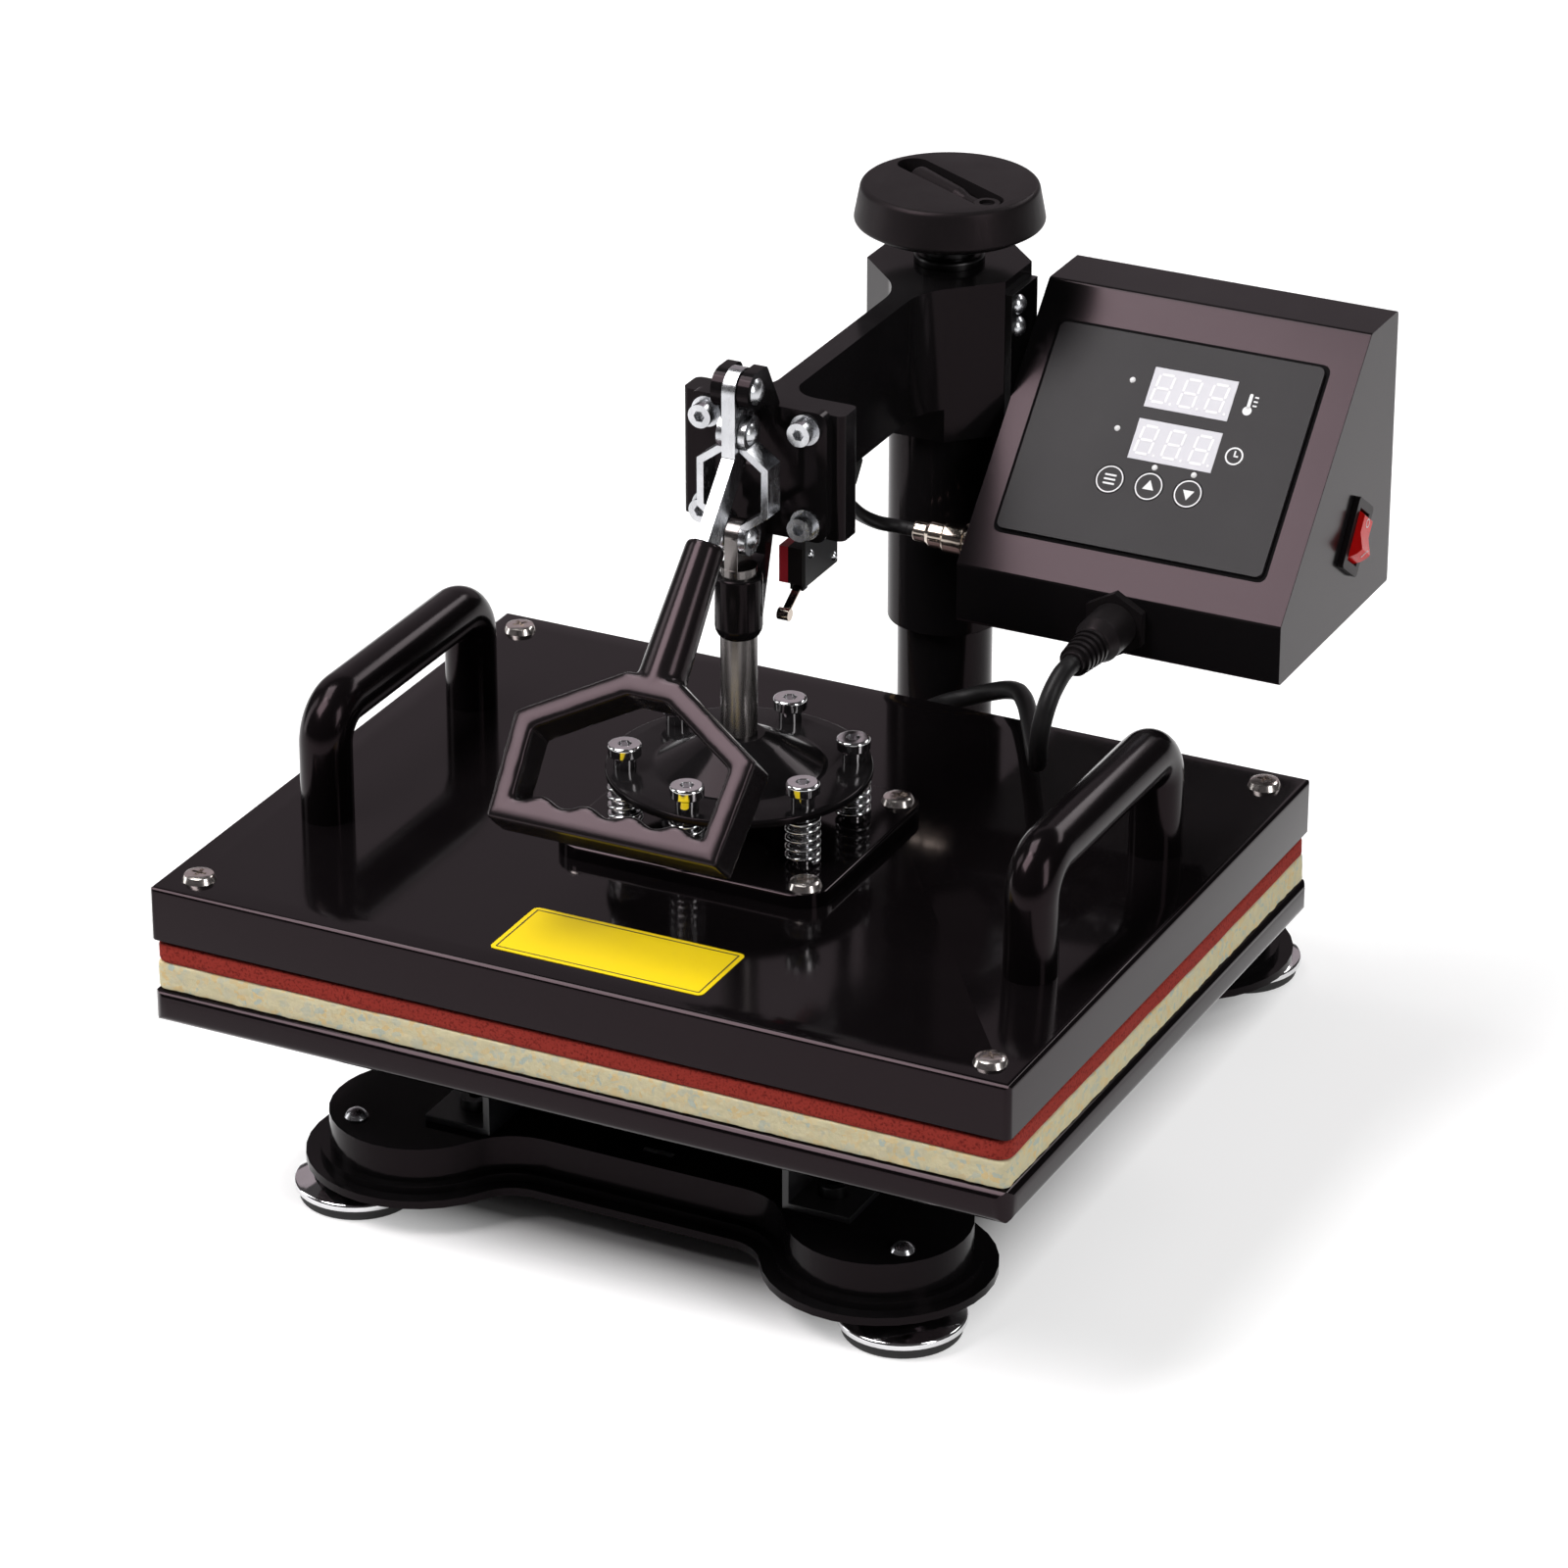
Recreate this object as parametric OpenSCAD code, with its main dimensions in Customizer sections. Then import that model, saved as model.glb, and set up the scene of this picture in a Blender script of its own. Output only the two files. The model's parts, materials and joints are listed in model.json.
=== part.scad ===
// Swing-away heat press, in millimetres: +X right, +Y back, +Z up, standing on z = 0.
// The pieces are drawn about the floor point under the platen's centre, with the press shut,
// and then moved back so that the origin is the middle of the footprint.

/* [Stand] */
// Distance between the feet across the press
foot_spacing_x = 248; // [236:1:262]
// Distance between the front and the rear feet
foot_spacing_y = 346; // [334:1:360]
// How far the post's axis lies in front of the rear feet
post_in = 45.5; // [42:0.5:52]
// Diameter of a foot
foot_d = 53; // [44:1:60]
// Height of the rubber under a foot
foot_pad_h = 5; // [3:0.5:8]
// Height of the dished cup of a foot
foot_cup_h = 9; // [7:0.5:14]
// Radius of a corner lobe of the base
lobe_r = 38; // [34:1:42]
// Distance from a foot in to the centre of its lobe, along X and along Y
lobe_in = 19.5; // [17:0.5:22]
// How far the waists of the base lie inside its lobes
waist_in = 34.5; // [28:0.5:36]
// Radius of the curve from a waist to a lobe
waist_r = 30; // [24:1:34]
// Height of the pressed base
base_h = 22; // [18:1:28]
// Sheet thickness of the base
base_t = 3; // [2:0.5:4]
// Width of the rim round the bottom of the base
rim_w = 10; // [7:0.5:12]
// Width of the step above the rim
rim_step = 4; // [2:0.5:5]
// Height of the rim, and of the step above it
rim_h = 3.5; // [2.5:0.5:5]

/* [Post] */
// Distance from the platen's centre back to the post's axis
post_reach = 197; // [190:1:206]
// Diameter of the post
post_d = 41; // [39:0.5:42]
// Wall of the post
post_wall = 4; // [3:0.5:5]
// Diameter of the flange at the post's foot
post_flange_d = 92; // [84:1:100]
// Thickness of that flange
post_flange_t = 8; // [6:0.5:10]

/* [Lower board] */
// Width of the lower board
board_w = 382; // [370:1:392]
// Depth of the lower board
board_d = 302; // [290:1:312]
// Thickness of the lower board
board_h = 15; // [12:0.5:18]
// Height of the brackets that carry the board
support_h = 50.5; // [40:0.5:60]
// Distance between the two brackets
support_spacing = 163; // [150:1:176]
// Length of a bracket, front to back
support_l = 190; // [176:1:210]
// Thickness of the foam mat
foam_h = 12; // [8:0.5:16]
// Thickness of the silicone mat
silicone_h = 8.5; // [5:0.5:10]
// How far the edges of both mats lie inside those of the platen
mat_in = 0.5; // [0:0.5:3]

/* [Platen] */
// Width of the cover
cover_w = 380; // [370:1:388]
// Depth of the cover
cover_d = 300; // [290:1:308]
// Height of the cover
cover_h = 23.5; // [21:0.5:28]
// Sheet thickness of the cover
cover_t = 2; // [1.5:0.1:2.5]
// Thickness of the heating plate
plate_h = 13; // [11:0.5:15]
// How far the heating plate shows below the cover
plate_show = 1.4; // [0.8:0.2:2.4]
// Gap between the heating plate and the cover, all round
plate_side = 4; // [3:0.5:6]
// Distance of a cover screw from the cover's edges
screw_in = 15; // [12:0.5:18]
// Width of the flange plate on the cover
flange_w = 122; // [118:1:128]
// Depth of the flange plate
flange_depth = 106; // [104:1:114]
// Thickness of the flange plate
flange_t = 6; // [5:0.5:8]

/* [Floating head] */
// Diameter of the disc that presses on the springs
disc_d = 109; // [106:1:112]
// Thickness of the disc at its rim
disc_t = 3.5; // [3:0.5:5]
// Diameter of the dome in the middle of the disc
dome_d = 70; // [62:1:74]
// Height of that dome
dome_h = 14; // [10:0.5:16]
// Number of shoulder bolts and springs
bolt_count = 6; // [4:1:6]
// Radius of the circle that they stand on
bolt_circle_r = 46.4; // [45:0.2:47]
// Diameter of a bolt's shoulder
shoulder_d = 9.5; // [8.5:0.1:10]
// Diameter of a bolt's head
bolt_head_d = 14; // [13:0.5:15]
// Height of a bolt's head
bolt_head_h = 5; // [4:0.5:6]
// How far the disc can rise off the springs
float_travel = 5; // [3:0.5:6]
// Length of a spring with the press shut
spring_l = 21.5; // [20:0.5:26]
// Outer diameter of a spring
spring_d = 15; // [14:0.2:15.6]
// Wire of a spring
spring_wire = 2; // [1.6:0.1:2.2]
// Curls of a spring
spring_curls = 5.5; // [4.5:0.5:6]
// Rise of the first and last curl
end_pitch = 2.7; // [2.65:0.05:3]

/* [Toggle] */
// Diameter of the plunger rod
rod_d = 15; // [13:0.5:16]
// Height of the lower link pivot above the disc
rod_rise = 101; // [97:0.5:106]
// Distance from the lever's pivot to its link pivot
crank_r = 18.5; // [18:0.1:20]
// Distance between the pivots of a link
link_l = 44.5; // [44:0.5:50]
// Swing of the lever from shut to open, in degrees
lever_swing = 110; // [95:1:115]
// Distance from the lever's pivot straight down to its bend
bend_drop = 25; // [24:0.5:28]
// Lean of the lever below its bend, in degrees
lever_lean = 42; // [40:0.5:44]
// Thickness of the lever bar
lever_t = 6; // [5:0.5:7]
// Width of the lever bar
lever_w = 11; // [10:0.5:12]
// Thickness of a link
link_t = 3; // [2.5:0.5:4]
// Radius of the links' round ends
eye_r = 7.5; // [6.5:0.5:7.8]
// How far the links bow out
link_bow = 9.5; // [7:0.5:11]
// Diameter of the lever's pivot pin
lever_pin_d = 8; // [7:0.5:9]
// Diameter of the link pins
link_pin_d = 7; // [5:0.5:7.5]
// Thickness of an ear that carries the lever
ear_t = 5; // [4:0.5:6]
// Width of the toggle's base plate
toggle_w = 62; // [58:1:68]
// Height of the toggle's base plate
toggle_h = 56; // [54:1:60]
// Thickness of the toggle's base plate
toggle_t = 5; // [4:0.5:7]
// Distance from the plunger's axis back to the base plate
toggle_back = 16.5; // [16:0.5:18]
// Spacing of the toggle's screws across
toggle_screw_x = 44; // [40:1:46]
// Spacing of the toggle's screws upwards
toggle_screw_z = 41; // [39:1:43]
// Outer diameter of the rod's guide
guide_d = 19.5; // [19:0.5:21.5]
// Length of the rod's guide
guide_l = 28; // [24:1:32]
// Height from the guide's top up to the lower link pivot
guide_drop = 17; // [15:0.5:19]

/* [Lever handle] */
// Distance from the bend at which the neck starts
neck_start = 42; // [38:1:46]
// Distance from the bend at which the loop starts
loop_start = 101; // [97:1:105]
// Length of the loop along the lever
loop_l = 70; // [66:1:76]
// Width of the loop
loop_w = 106; // [98:1:112]
// Width of the loop's top
loop_top_w = 20; // [18:1:26]
// Width of the loop's bar
loop_bar_w = 10; // [9:0.5:11]
// Thickness of the loop's bar
loop_bar_t = 20; // [16:0.5:22]
// Number of finger scallops
finger_count = 4; // [3:1:5]
// Depth of the scallops
finger_depth = 3.6; // [2.4:0.2:4]

/* [Arm] */
// Height of the arm's web
arm_h = 54; // [50:1:56]
// Thickness of the web
web_t = 10; // [8:0.5:14]
// Width of the plate at the arm's front end
nose_w = 72; // [70:1:78]
// Thickness of that plate
nose_t = 13.5; // [11:0.5:16]
// Radius of the web's fillets at that plate
nose_r = 12; // [8:1:14]
// Radius of the web's flare into the head
flare_r = 30; // [24:1:36]
// Distance across the flats of the head
head_af = 64; // [63:0.5:68]
// Height of the head
head_h = 69; // [64:1:76]
// Thickness of the head's roof
roof_t = 28; // [24:1:32]
// Outer diameter of the sleeve on the post
sleeve_d = 50; // [49.5:0.5:51.5]
// Wall of the sleeve
sleeve_wall = 2.5; // [2:0.25:2.75]
// Length of the sleeve below the head
sleeve_l = 94; // [86:1:100]
// Length of a sleeve bush
bush_l = 25; // [18:1:30]

/* [Height knob] */
// Diameter of the knob at its bottom
knob_d = 81; // [74:1:88]
// Diameter of the knob at its top
knob_top_d = 75; // [70:1:80]
// Thickness of the knob
knob_h = 19; // [17:0.5:22]
// Height of the knob's underside above the arm
knob_lift = 15.5; // [13.5:0.5:18]
// Diameter of the pressure screw
screw_d = 22; // [20:0.5:24]
// How far the screw can raise the arm
height_travel = 8; // [5:0.5:8]
// Width of the slot for the crank grip
slot_w = 14; // [13:0.5:16]
// Depth of that slot
slot_depth = 12; // [11.5:0.5:13]
// Turn of the slot from the X axis, in degrees
slot_turn = -29; // [-60:1:60]
// Distance from the knob's axis to the grip's hinge
crank_r_out = 26; // [24:0.5:28]

/* [Side handles] */
// Distance between the two handles
handle_spacing = 316; // [300:1:326]
// Distance between the legs of a handle
handle_l = 122; // [110:1:140]
// How far the handles lie behind the platen's centre
handle_back = 0; // [-10:0.5:24]
// Height of the handle's bar above the cover
handle_h = 47; // [42:0.5:60]
// Diameter of the handle's tube
handle_d = 22; // [18:0.5:24]
// Radius of the handle's bends
handle_bend = 15; // [13:0.5:20]

/* [Control box] */
// Width of the box
box_w = 146; // [142:1:152]
// Distance from the post's axis forward to the box's front
box_front_in = 65; // [60:1:70]
// Depth of the box
box_depth = 120; // [114:1:126]
// Height of the box
box_h = 123; // [118:1:130]
// Height of the upright face below the panel
box_lip = 26.5; // [26:0.5:30]
// Depth of the flat top
box_top = 30; // [26:0.5:34]
// How far the box's top lies below the arm's top
box_drop = 10.5; // [6:0.5:14]
// Sheet thickness of the box
box_t = 1.6; // [1.2:0.1:2]
// Thickness of the bracket between head and box
bracket_t = 3; // [2.5:0.5:4]
// Width of the display panel
panel_w = 119.5; // [116:0.5:124]
// Height of the display panel
panel_l = 94.5; // [92:0.5:98]
// Thickness of the display panel
panel_t = 1.6; // [1.2:0.1:2]
// Width of a display window
window_w = 37.5; // [34:0.5:39]
// Height of a display window
window_l = 18; // [16:0.5:19]
// Diameter of a panel key
key_d = 12.8; // [11:0.2:14]
// Distance between the keys
key_pitch = 17.6; // [16:0.2:19]
// Travel of a key
key_travel = 0.6; // [0.4:0.1:0.8]
// Length of the rocker switch's bezel
rocker_l = 31; // [29:0.5:34]
// Width of that bezel
rocker_w = 20; // [18:0.5:22]
// Lean of the rocker switch from upright, in degrees
rocker_lean = 35; // [20:1:45]
// Swing of the rocker, in degrees
rocker_swing = 20; // [14:1:22]

/* [Leads] */
// Diameter of the heater lead
heater_lead_d = 8; // [7:0.5:8.5]
// Diameter of the switch lead
switch_lead_d = 6; // [5:0.5:6.5]

/* [Clearances] */
// Radial clearance of a shaft in its bore
slip = 0.05; // [0.02:0.01:0.08]
// Gap between faces that move past each other
gap = 0.3; // [0.2:0.05:0.4]
// Radial clearance of a screw in its hole
ease = 0.1; // [0.05:0.05:0.2]

/* [Hidden] */
$fn = 48;
over = 0.5;
base_z = foot_pad_h + foot_cup_h;
base_top = base_z + base_h;
board_z = base_top + support_h;
foam_z = board_z + board_h;
silicone_z = foam_z + foam_h;
plate_z = silicone_z + silicone_h + gap;
cover_z = plate_z + plate_show;
cover_top = cover_z + cover_h;
flange_top = cover_top + flange_t;
disc_z = flange_top + spring_l;
disc_top = disc_z + disc_t;
bolt_seat = disc_top + float_travel + gap;
link_low_z = disc_top + rod_rise;
link_up_z = link_low_z + link_l;
lever_z = link_up_z + crank_r;
guide_top = link_low_z - guide_drop;
arm_under_lever = 14;
arm_top = lever_z - arm_under_lever;
arm_z = arm_top - arm_h;
head_z = arm_top - head_h;
sleeve_z = head_z - sleeve_l;
roof_z = arm_top - roof_t;
toggle_above_arm = 2;
toggle_z = arm_top + toggle_above_arm - toggle_h;
nose_y = toggle_back + toggle_t;
washer_t = 4;
washer_room = 14;
post_top = roof_z - washer_room - washer_t;
plug_t = 6;
knob_z = arm_top + knob_lift;
knob_top = knob_z + knob_h;
box_x = head_af / 2 + bracket_t;
box_y = post_reach - box_front_in;
box_z = arm_top - box_drop - box_h;
lip_z = box_z + box_lip;
slope_y = box_depth - box_top;
slope_z = box_h - box_lip;
slope = atan2(slope_z, slope_y);
slope_l = norm([slope_y, slope_z]);
panel_x = box_x + box_w / 2 - 1;
panel_s = slope_l / 2;
stand_back = post_reach + post_in - foot_spacing_y / 2;
lobe_x = foot_spacing_x / 2 - lobe_in;
lobe_y = foot_spacing_y / 2 - lobe_in;
waist_out = lobe_r - waist_in;
footprint_back = stand_back + lobe_y + lobe_r + rim_w;
footprint_front = -board_d / 2;
mat_w = cover_w - 2 * mat_in;
mat_d = cover_d - 2 * mat_in;
platen_y = -(footprint_back + footprint_front) / 2;
swing_y = crank_r * sin(lever_swing);
link_tilt = asin(swing_y / link_l);
plunger_stroke = crank_r + link_l - crank_r * cos(lever_swing) - sqrt(link_l * link_l - swing_y * swing_y);
sides = [-1, 1];

echo(str("plunger stroke ", plunger_stroke, " platen lift ", plunger_stroke - float_travel,
         " link turn ", lever_swing + link_tilt, " platen_y ", platen_y));
echo(str("lever pivot z ", lever_z, " link pivot z ", link_up_z, " post_y ", post_reach + platen_y));

// Shapes that several pieces share

function unit(v) = v / norm(v);

// One rounded corner of an outline, between the points before and after it
function corner(before, at, after, r, steps) =
    r == 0 ? [at] :
    let (u = unit(before - at), v = unit(after - at), half = acos(u * v) / 2,
         centre = at + unit(u + v) * r / sin(half),
         first = at + u * r / tan(half) - centre, last = at + v * r / tan(half) - centre,
         start = atan2(first[1], first[0]), end = atan2(last[1], last[0]),
         turn = (end - start + 540) % 360 - 180)
    [for (i = [0:steps]) centre + r * [cos(start + turn * i / steps), sin(start + turn * i / steps)]];

// An outline with each corner rounded; radii is one number or a list with one for each corner
function rounded(pts, radii, steps = 5) =
    [for (i = [0:len(pts) - 1])
        each corner(pts[(i + len(pts) - 1) % len(pts)], pts[i], pts[(i + 1) % len(pts)],
                    is_list(radii) ? radii[i] : radii, steps)];

function oblong(w, d) = [[-w / 2, -d / 2], [w / 2, -d / 2], [w / 2, d / 2], [-w / 2, d / 2]];
function wall(w, h) = [[-w / 2, 0], [w / 2, 0], [w / 2, h], [-w / 2, h]];

// An outline in Y and Z, given its thickness along X about x = 0
module across(w) {
    rotate([90, 0, 90]) linear_extrude(w, center = true) children();
}

// An outline in X and Z, given its thickness along Y about y = 0
module along(d) {
    rotate([90, 0, 0]) linear_extrude(d, center = true) children();
}

// A flat slab on z = 0 with rounded corners in plan and rounded top and bottom edges
module slab(w, d, h, plan_r, top_r, bottom_r) {
    edges = [bottom_r, bottom_r, top_r, top_r];
    intersection() {
        linear_extrude(h) polygon(rounded(oblong(w, d), plan_r));
        along(d) polygon(rounded(wall(w, h), edges));
        across(w) polygon(rounded(wall(d, h), edges));
    }
}

// A round cap on z = 0
module dome(d, h) {
    cap_r = (d * d / 4 + h * h) / (2 * h);
    intersection() {
        translate([0, 0, h - cap_r]) sphere(cap_r);
        cylinder(d = d, h = h);
    }
}

// A domed screw with its seat at z = 0
module domed_screw(head_d, head_h, shank_d, shank_l) {
    dome(head_d, head_h);
    translate([0, 0, -shank_l]) cylinder(d = shank_d, h = shank_l + head_h / 2);
}

// A socket-head screw with its seat at z = 0
module socket_screw(head_d, head_h, socket_d, shank_d, shank_l) {
    difference() {
        union() {
            cylinder(d = head_d, h = head_h);
            translate([0, 0, -shank_l]) cylinder(d = shank_d, h = shank_l + over);
        }
        translate([0, 0, head_h / 2]) cylinder(d = socket_d, h = head_h, $fn = 6);
    }
}

// A smooth path through a few points
function smooth_path(pts, n) =
    concat([for (i = [0:len(pts) - 2], k = [0:n - 1])
        let (t = k / n, a = pts[max(i - 1, 0)], b = pts[i], c = pts[i + 1],
             d = pts[min(i + 2, len(pts) - 1)])
        b + t * (c - a) / 2 + t * t * (2 * a - 5 * b + 4 * c - d) / 2
            + t * t * t * (3 * b - a - 3 * c + d) / 2],
        [pts[len(pts) - 1]]);

function tangents(path) =
    [for (i = [0:len(path) - 1]) unit(path[min(i + 1, len(path) - 1)] - path[max(i - 1, 0)])];

// A direction square to the path, carried along it without twist
function carried(ts, side, i = 0) =
    i == len(ts) ? [] :
    let (square = unit(side - (side * ts[i]) * ts[i]))
    concat([square], carried(ts, square, i + 1));

// A round tube of n sides along a path
module tube(path, r, n, side) {
    ts = tangents(path);
    us = carried(ts, side);
    last = len(path) - 1;
    points = [for (i = [0:last], k = [0:n - 1])
        path[i] + r * (cos(360 * k / n) * us[i] + sin(360 * k / n) * cross(ts[i], us[i]))];
    walls = [for (i = [0:last - 1], k = [0:n - 1])
        let (a = i * n + k, b = i * n + (k + 1) % n)
        each [[a, a + n, b + n], [a, b + n, b]]];
    first_cap = [for (k = [1:n - 2]) [0, k, k + 1]];
    last_cap = [for (k = [1:n - 2]) [last * n, last * n + k + 1, last * n + k]];
    polyhedron(points, concat(walls, first_cap, last_cap), convexity = 10);
}

// Stand

foot_hole_d = 8;
foot_head_d = 10;
support_flange = 30;
support_t = 3;
support_bolt_y = 79;
base_bolt_d = 8;
post_bolt_r = 36;
cable_slot = [16, 8];
cable_slot_y = 14;

module at_feet() {
    for (sx = sides, sy = sides)
        translate([sx * foot_spacing_x / 2, stand_back + sy * foot_spacing_y / 2, 0]) children();
}

module at_support_bolts() {
    for (sx = sides, sy = sides)
        translate([sx * support_spacing / 2, sy * support_bolt_y, 0]) children();
}

module at_post_bolts() {
    for (turn = [45:90:315])
        translate([0, post_reach, 0]) rotate(turn) translate([post_bolt_r, 0, 0]) children();
}

// Points on an arc, leaving out its two ends when open is 1
function arc(centre, r, from, to, steps, open = 0) =
    [for (i = [open:steps - open])
        let (angle = from + (to - from) * i / steps) centre + r * [cos(angle), sin(angle)]];

// A quarter of the base's outline: from the rear waist round a lobe to the side waist, grown by a margin
function base_quarter(grow) =
    let (reach = waist_out + waist_r, run = sqrt(pow(lobe_r + waist_r, 2) - reach * reach),
         tilt = atan2(reach, run))
    concat(arc([lobe_x - run, lobe_y + reach], waist_r - grow, -90, -tilt, 6),
           arc([lobe_x, lobe_y], lobe_r + grow, 180 - tilt, tilt - 90, 20, 1),
           arc([lobe_x + reach, lobe_y - run], waist_r - grow, 90 + tilt, 180, 6));

function mirrored(pts, flip) = [for (i = [len(pts) - 1:-1:0]) [pts[i][0] * flip[0], pts[i][1] * flip[1]]];

// Outline of the base about its own middle, grown by a margin
module base_outline(grow) {
    right_rear = base_quarter(grow);
    right = concat(right_rear, mirrored(right_rear, [1, -1]));
    polygon(concat(right, mirrored(right, [-1, 1])));
}

module base_pressing() {
    color("#151517") difference() {
        translate([0, stand_back, base_z]) {
            linear_extrude(rim_h) base_outline(rim_w);
            linear_extrude(2 * rim_h) base_outline(rim_step);
            linear_extrude(base_h) base_outline(0);
        }
        translate([0, stand_back, base_z - over]) linear_extrude(base_h - base_t + over)
            base_outline(-base_t);
        at_feet() translate([0, 0, base_z]) cylinder(d = foot_hole_d + 2 * ease, h = base_h + over);
        at_support_bolts() translate([0, 0, base_z]) cylinder(d = base_bolt_d + 2 * ease, h = base_h + over);
        at_post_bolts() translate([0, 0, base_z]) cylinder(d = base_bolt_d + 2 * ease, h = base_h + over);
        translate([-cable_slot[0] / 2, stand_back - lobe_y - waist_out + cable_slot_y - cable_slot[1] / 2, base_z])
            cube([cable_slot[0], cable_slot[1], base_h + over]);
    }
}

module foot_cups() {
    cup_lip = foot_cup_h / 3;
    hub_d = foot_d / 2;
    color("#c9ccd0") at_feet() translate([0, 0, foot_pad_h]) difference() {
        rotate_extrude() polygon(rounded(
            [[0, 0], [foot_d / 2, 0], [foot_d / 2, cup_lip], [hub_d / 2, foot_cup_h], [0, foot_cup_h]],
            [0, 1, 1.5, 3, 0]));
        translate([0, 0, foot_cup_h / 3]) cylinder(d = foot_hole_d + 2 * ease, h = foot_cup_h);
    }
}

module foot_pads() {
    pad_d = foot_d - 4;
    color("#1c1c1c") at_feet() rotate_extrude()
        polygon(rounded([[0, 0], [pad_d / 2, 0], [pad_d / 2, foot_pad_h], [0, foot_pad_h]], [0, 1.5, 0, 0]));
}

module foot_bolts() {
    head_h = 3.5;
    color("#3a3a3c") at_feet() translate([0, 0, base_top]) domed_screw(
        foot_head_d, head_h, foot_hole_d, base_h + foot_cup_h / 2);
}

module post() {
    color("#121214") translate([0, post_reach, base_top]) difference() {
        rotate_extrude() polygon([
            [post_d / 2 - post_wall, 0], [post_flange_d / 2, 0], [post_flange_d / 2, post_flange_t],
            [post_d / 2 + 5, post_flange_t], [post_d / 2, post_flange_t + 5],
            [post_d / 2, post_top - base_top], [0, post_top - base_top],
            [0, post_top - base_top - plug_t], [post_d / 2 - post_wall, post_top - base_top - plug_t]]);
        translate([0, -post_reach, 0]) at_post_bolts()
            translate([0, 0, -over]) cylinder(d = base_bolt_d + 2 * ease, h = post_flange_t + 2 * over);
    }
}

module base_bolts() {
    head_d = 13;
    head_h = 5;
    nut_t = 5;
    color("#2a2a2c") {
        at_post_bolts() translate([0, 0, base_top + post_flange_t])
            socket_screw(head_d, head_h, 6, base_bolt_d, post_flange_t + base_t + nut_t);
        at_support_bolts() translate([0, 0, base_top + support_t])
            socket_screw(head_d, head_h, 6, base_bolt_d, support_t + base_t + nut_t);
    }
}

// Two folded channels, open outwards, that carry the lower board
module board_supports() {
    inner = support_flange / 2;
    color("#19191b") for (side = [0, 1]) mirror([side, 0, 0]) difference() {
        translate([support_spacing / 2, 0, base_top]) along(support_l) polygon([
            [-inner, 0], [inner, 0], [inner, support_t], [support_t - inner, support_t],
            [support_t - inner, support_h - support_t], [inner, support_h - support_t],
            [inner, support_h], [-inner, support_h]]);
        at_support_bolts() translate([0, 0, base_top - over])
            cylinder(d = base_bolt_d + 2 * ease, h = support_t + 2 * over);
    }
}

module lower_board() {
    color("#161618") translate([0, 0, board_z]) slab(board_w, board_d, board_h, 8, 5, 5);
}

module foam_mat() {
    color("#e3dcb8") translate([0, 0, foam_z]) slab(mat_w, mat_d, foam_h, 4, 1.5, 1.5);
}

module silicone_mat() {
    color("#9a352b") translate([0, 0, silicone_z]) slab(mat_w, mat_d, silicone_h, 6, 2, 1);
}

// Height adjustment

module at_post() {
    translate([0, post_reach, 0]) children();
}

module thrust_washer() {
    color("#b9bcc0") at_post() translate([0, 0, post_top]) cylinder(d = post_d - 4, h = washer_t);
}

knob_socket = 8;

module pressure_screw() {
    tip_h = 3;
    bottom = post_top + washer_t;
    color("#2b2b2d") at_post() rotate_extrude() polygon([
        [0, bottom], [screw_d / 2 - tip_h, bottom], [screw_d / 2, bottom + tip_h],
        [screw_d / 2, knob_z + knob_socket], [0, knob_z + knob_socket]]);
}

crank_pin_d = 3;
crank_boss_d = slot_w - 2 * gap;
crank_boss_h = 8;
crank_pin_z = knob_top - crank_boss_h / 2 - 1;
crank_l = 2 * crank_r_out;
crank_reach = crank_l + 2;

module at_crank() {
    at_post() rotate(slot_turn) translate([crank_r_out, 0, crank_pin_z]) children();
}

module height_knob() {
    color("#1d1d1f") difference() {
        at_post() translate([0, 0, knob_z]) rotate_extrude() polygon(rounded(
            [[0, 0], [knob_d / 2 - 5, 0], [knob_d / 2, 3], [knob_top_d / 2, knob_h], [0, knob_h]],
            [0, 1, 2, 2.5, 0]));
        at_post() translate([0, 0, knob_z - over]) cylinder(d = screw_d, h = knob_socket + over);
        at_post() translate([0, 0, knob_top - slot_depth]) rotate(slot_turn)
            linear_extrude(slot_depth + over) {
                square([2 * crank_r_out, slot_w], center = true);
                for (side = sides) translate([side * crank_r_out, 0]) circle(d = slot_w);
            }
        at_crank() rotate([90, 0, 0]) cylinder(d = crank_pin_d, h = slot_w + 8, center = true);
    }
}

module crank_pin() {
    color("#8c8f93") at_crank() rotate([90, 0, 0]) cylinder(d = crank_pin_d, h = slot_w + 8, center = true);
}

// The grip lies in the knob's slot and folds up about its pin
module crank_grip() {
    grip_d = 10.5;
    neck_d = 6;
    color("#232325") difference() {
        at_crank() {
            intersection() {
                sphere(d = crank_boss_d);
                cylinder(d = crank_boss_d, h = crank_boss_h, center = true);
            }
            rotate([0, -90, 0]) rotate_extrude() polygon(rounded(
                [[0, 0], [neck_d / 2, 0], [neck_d / 2, 14], [grip_d / 2 - 1, 20],
                 [grip_d / 2, crank_reach - 4], [0, crank_reach - 4]],
                [0, 0, 2, 3, 3, 0]));
        }
        at_crank() rotate([90, 0, 0]) cylinder(d = crank_pin_d + 2 * slip, h = slot_w, center = true);
        at_crank() translate([0, 0, crank_boss_h / 2 - 1.5]) cylinder(d = crank_boss_d / 2, h = 2);
    }
}

// Swing arm

module head_prism(h) {
    rotate(22.5) cylinder(d = head_af / cos(22.5), h = h, $fn = 8);
}

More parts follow.
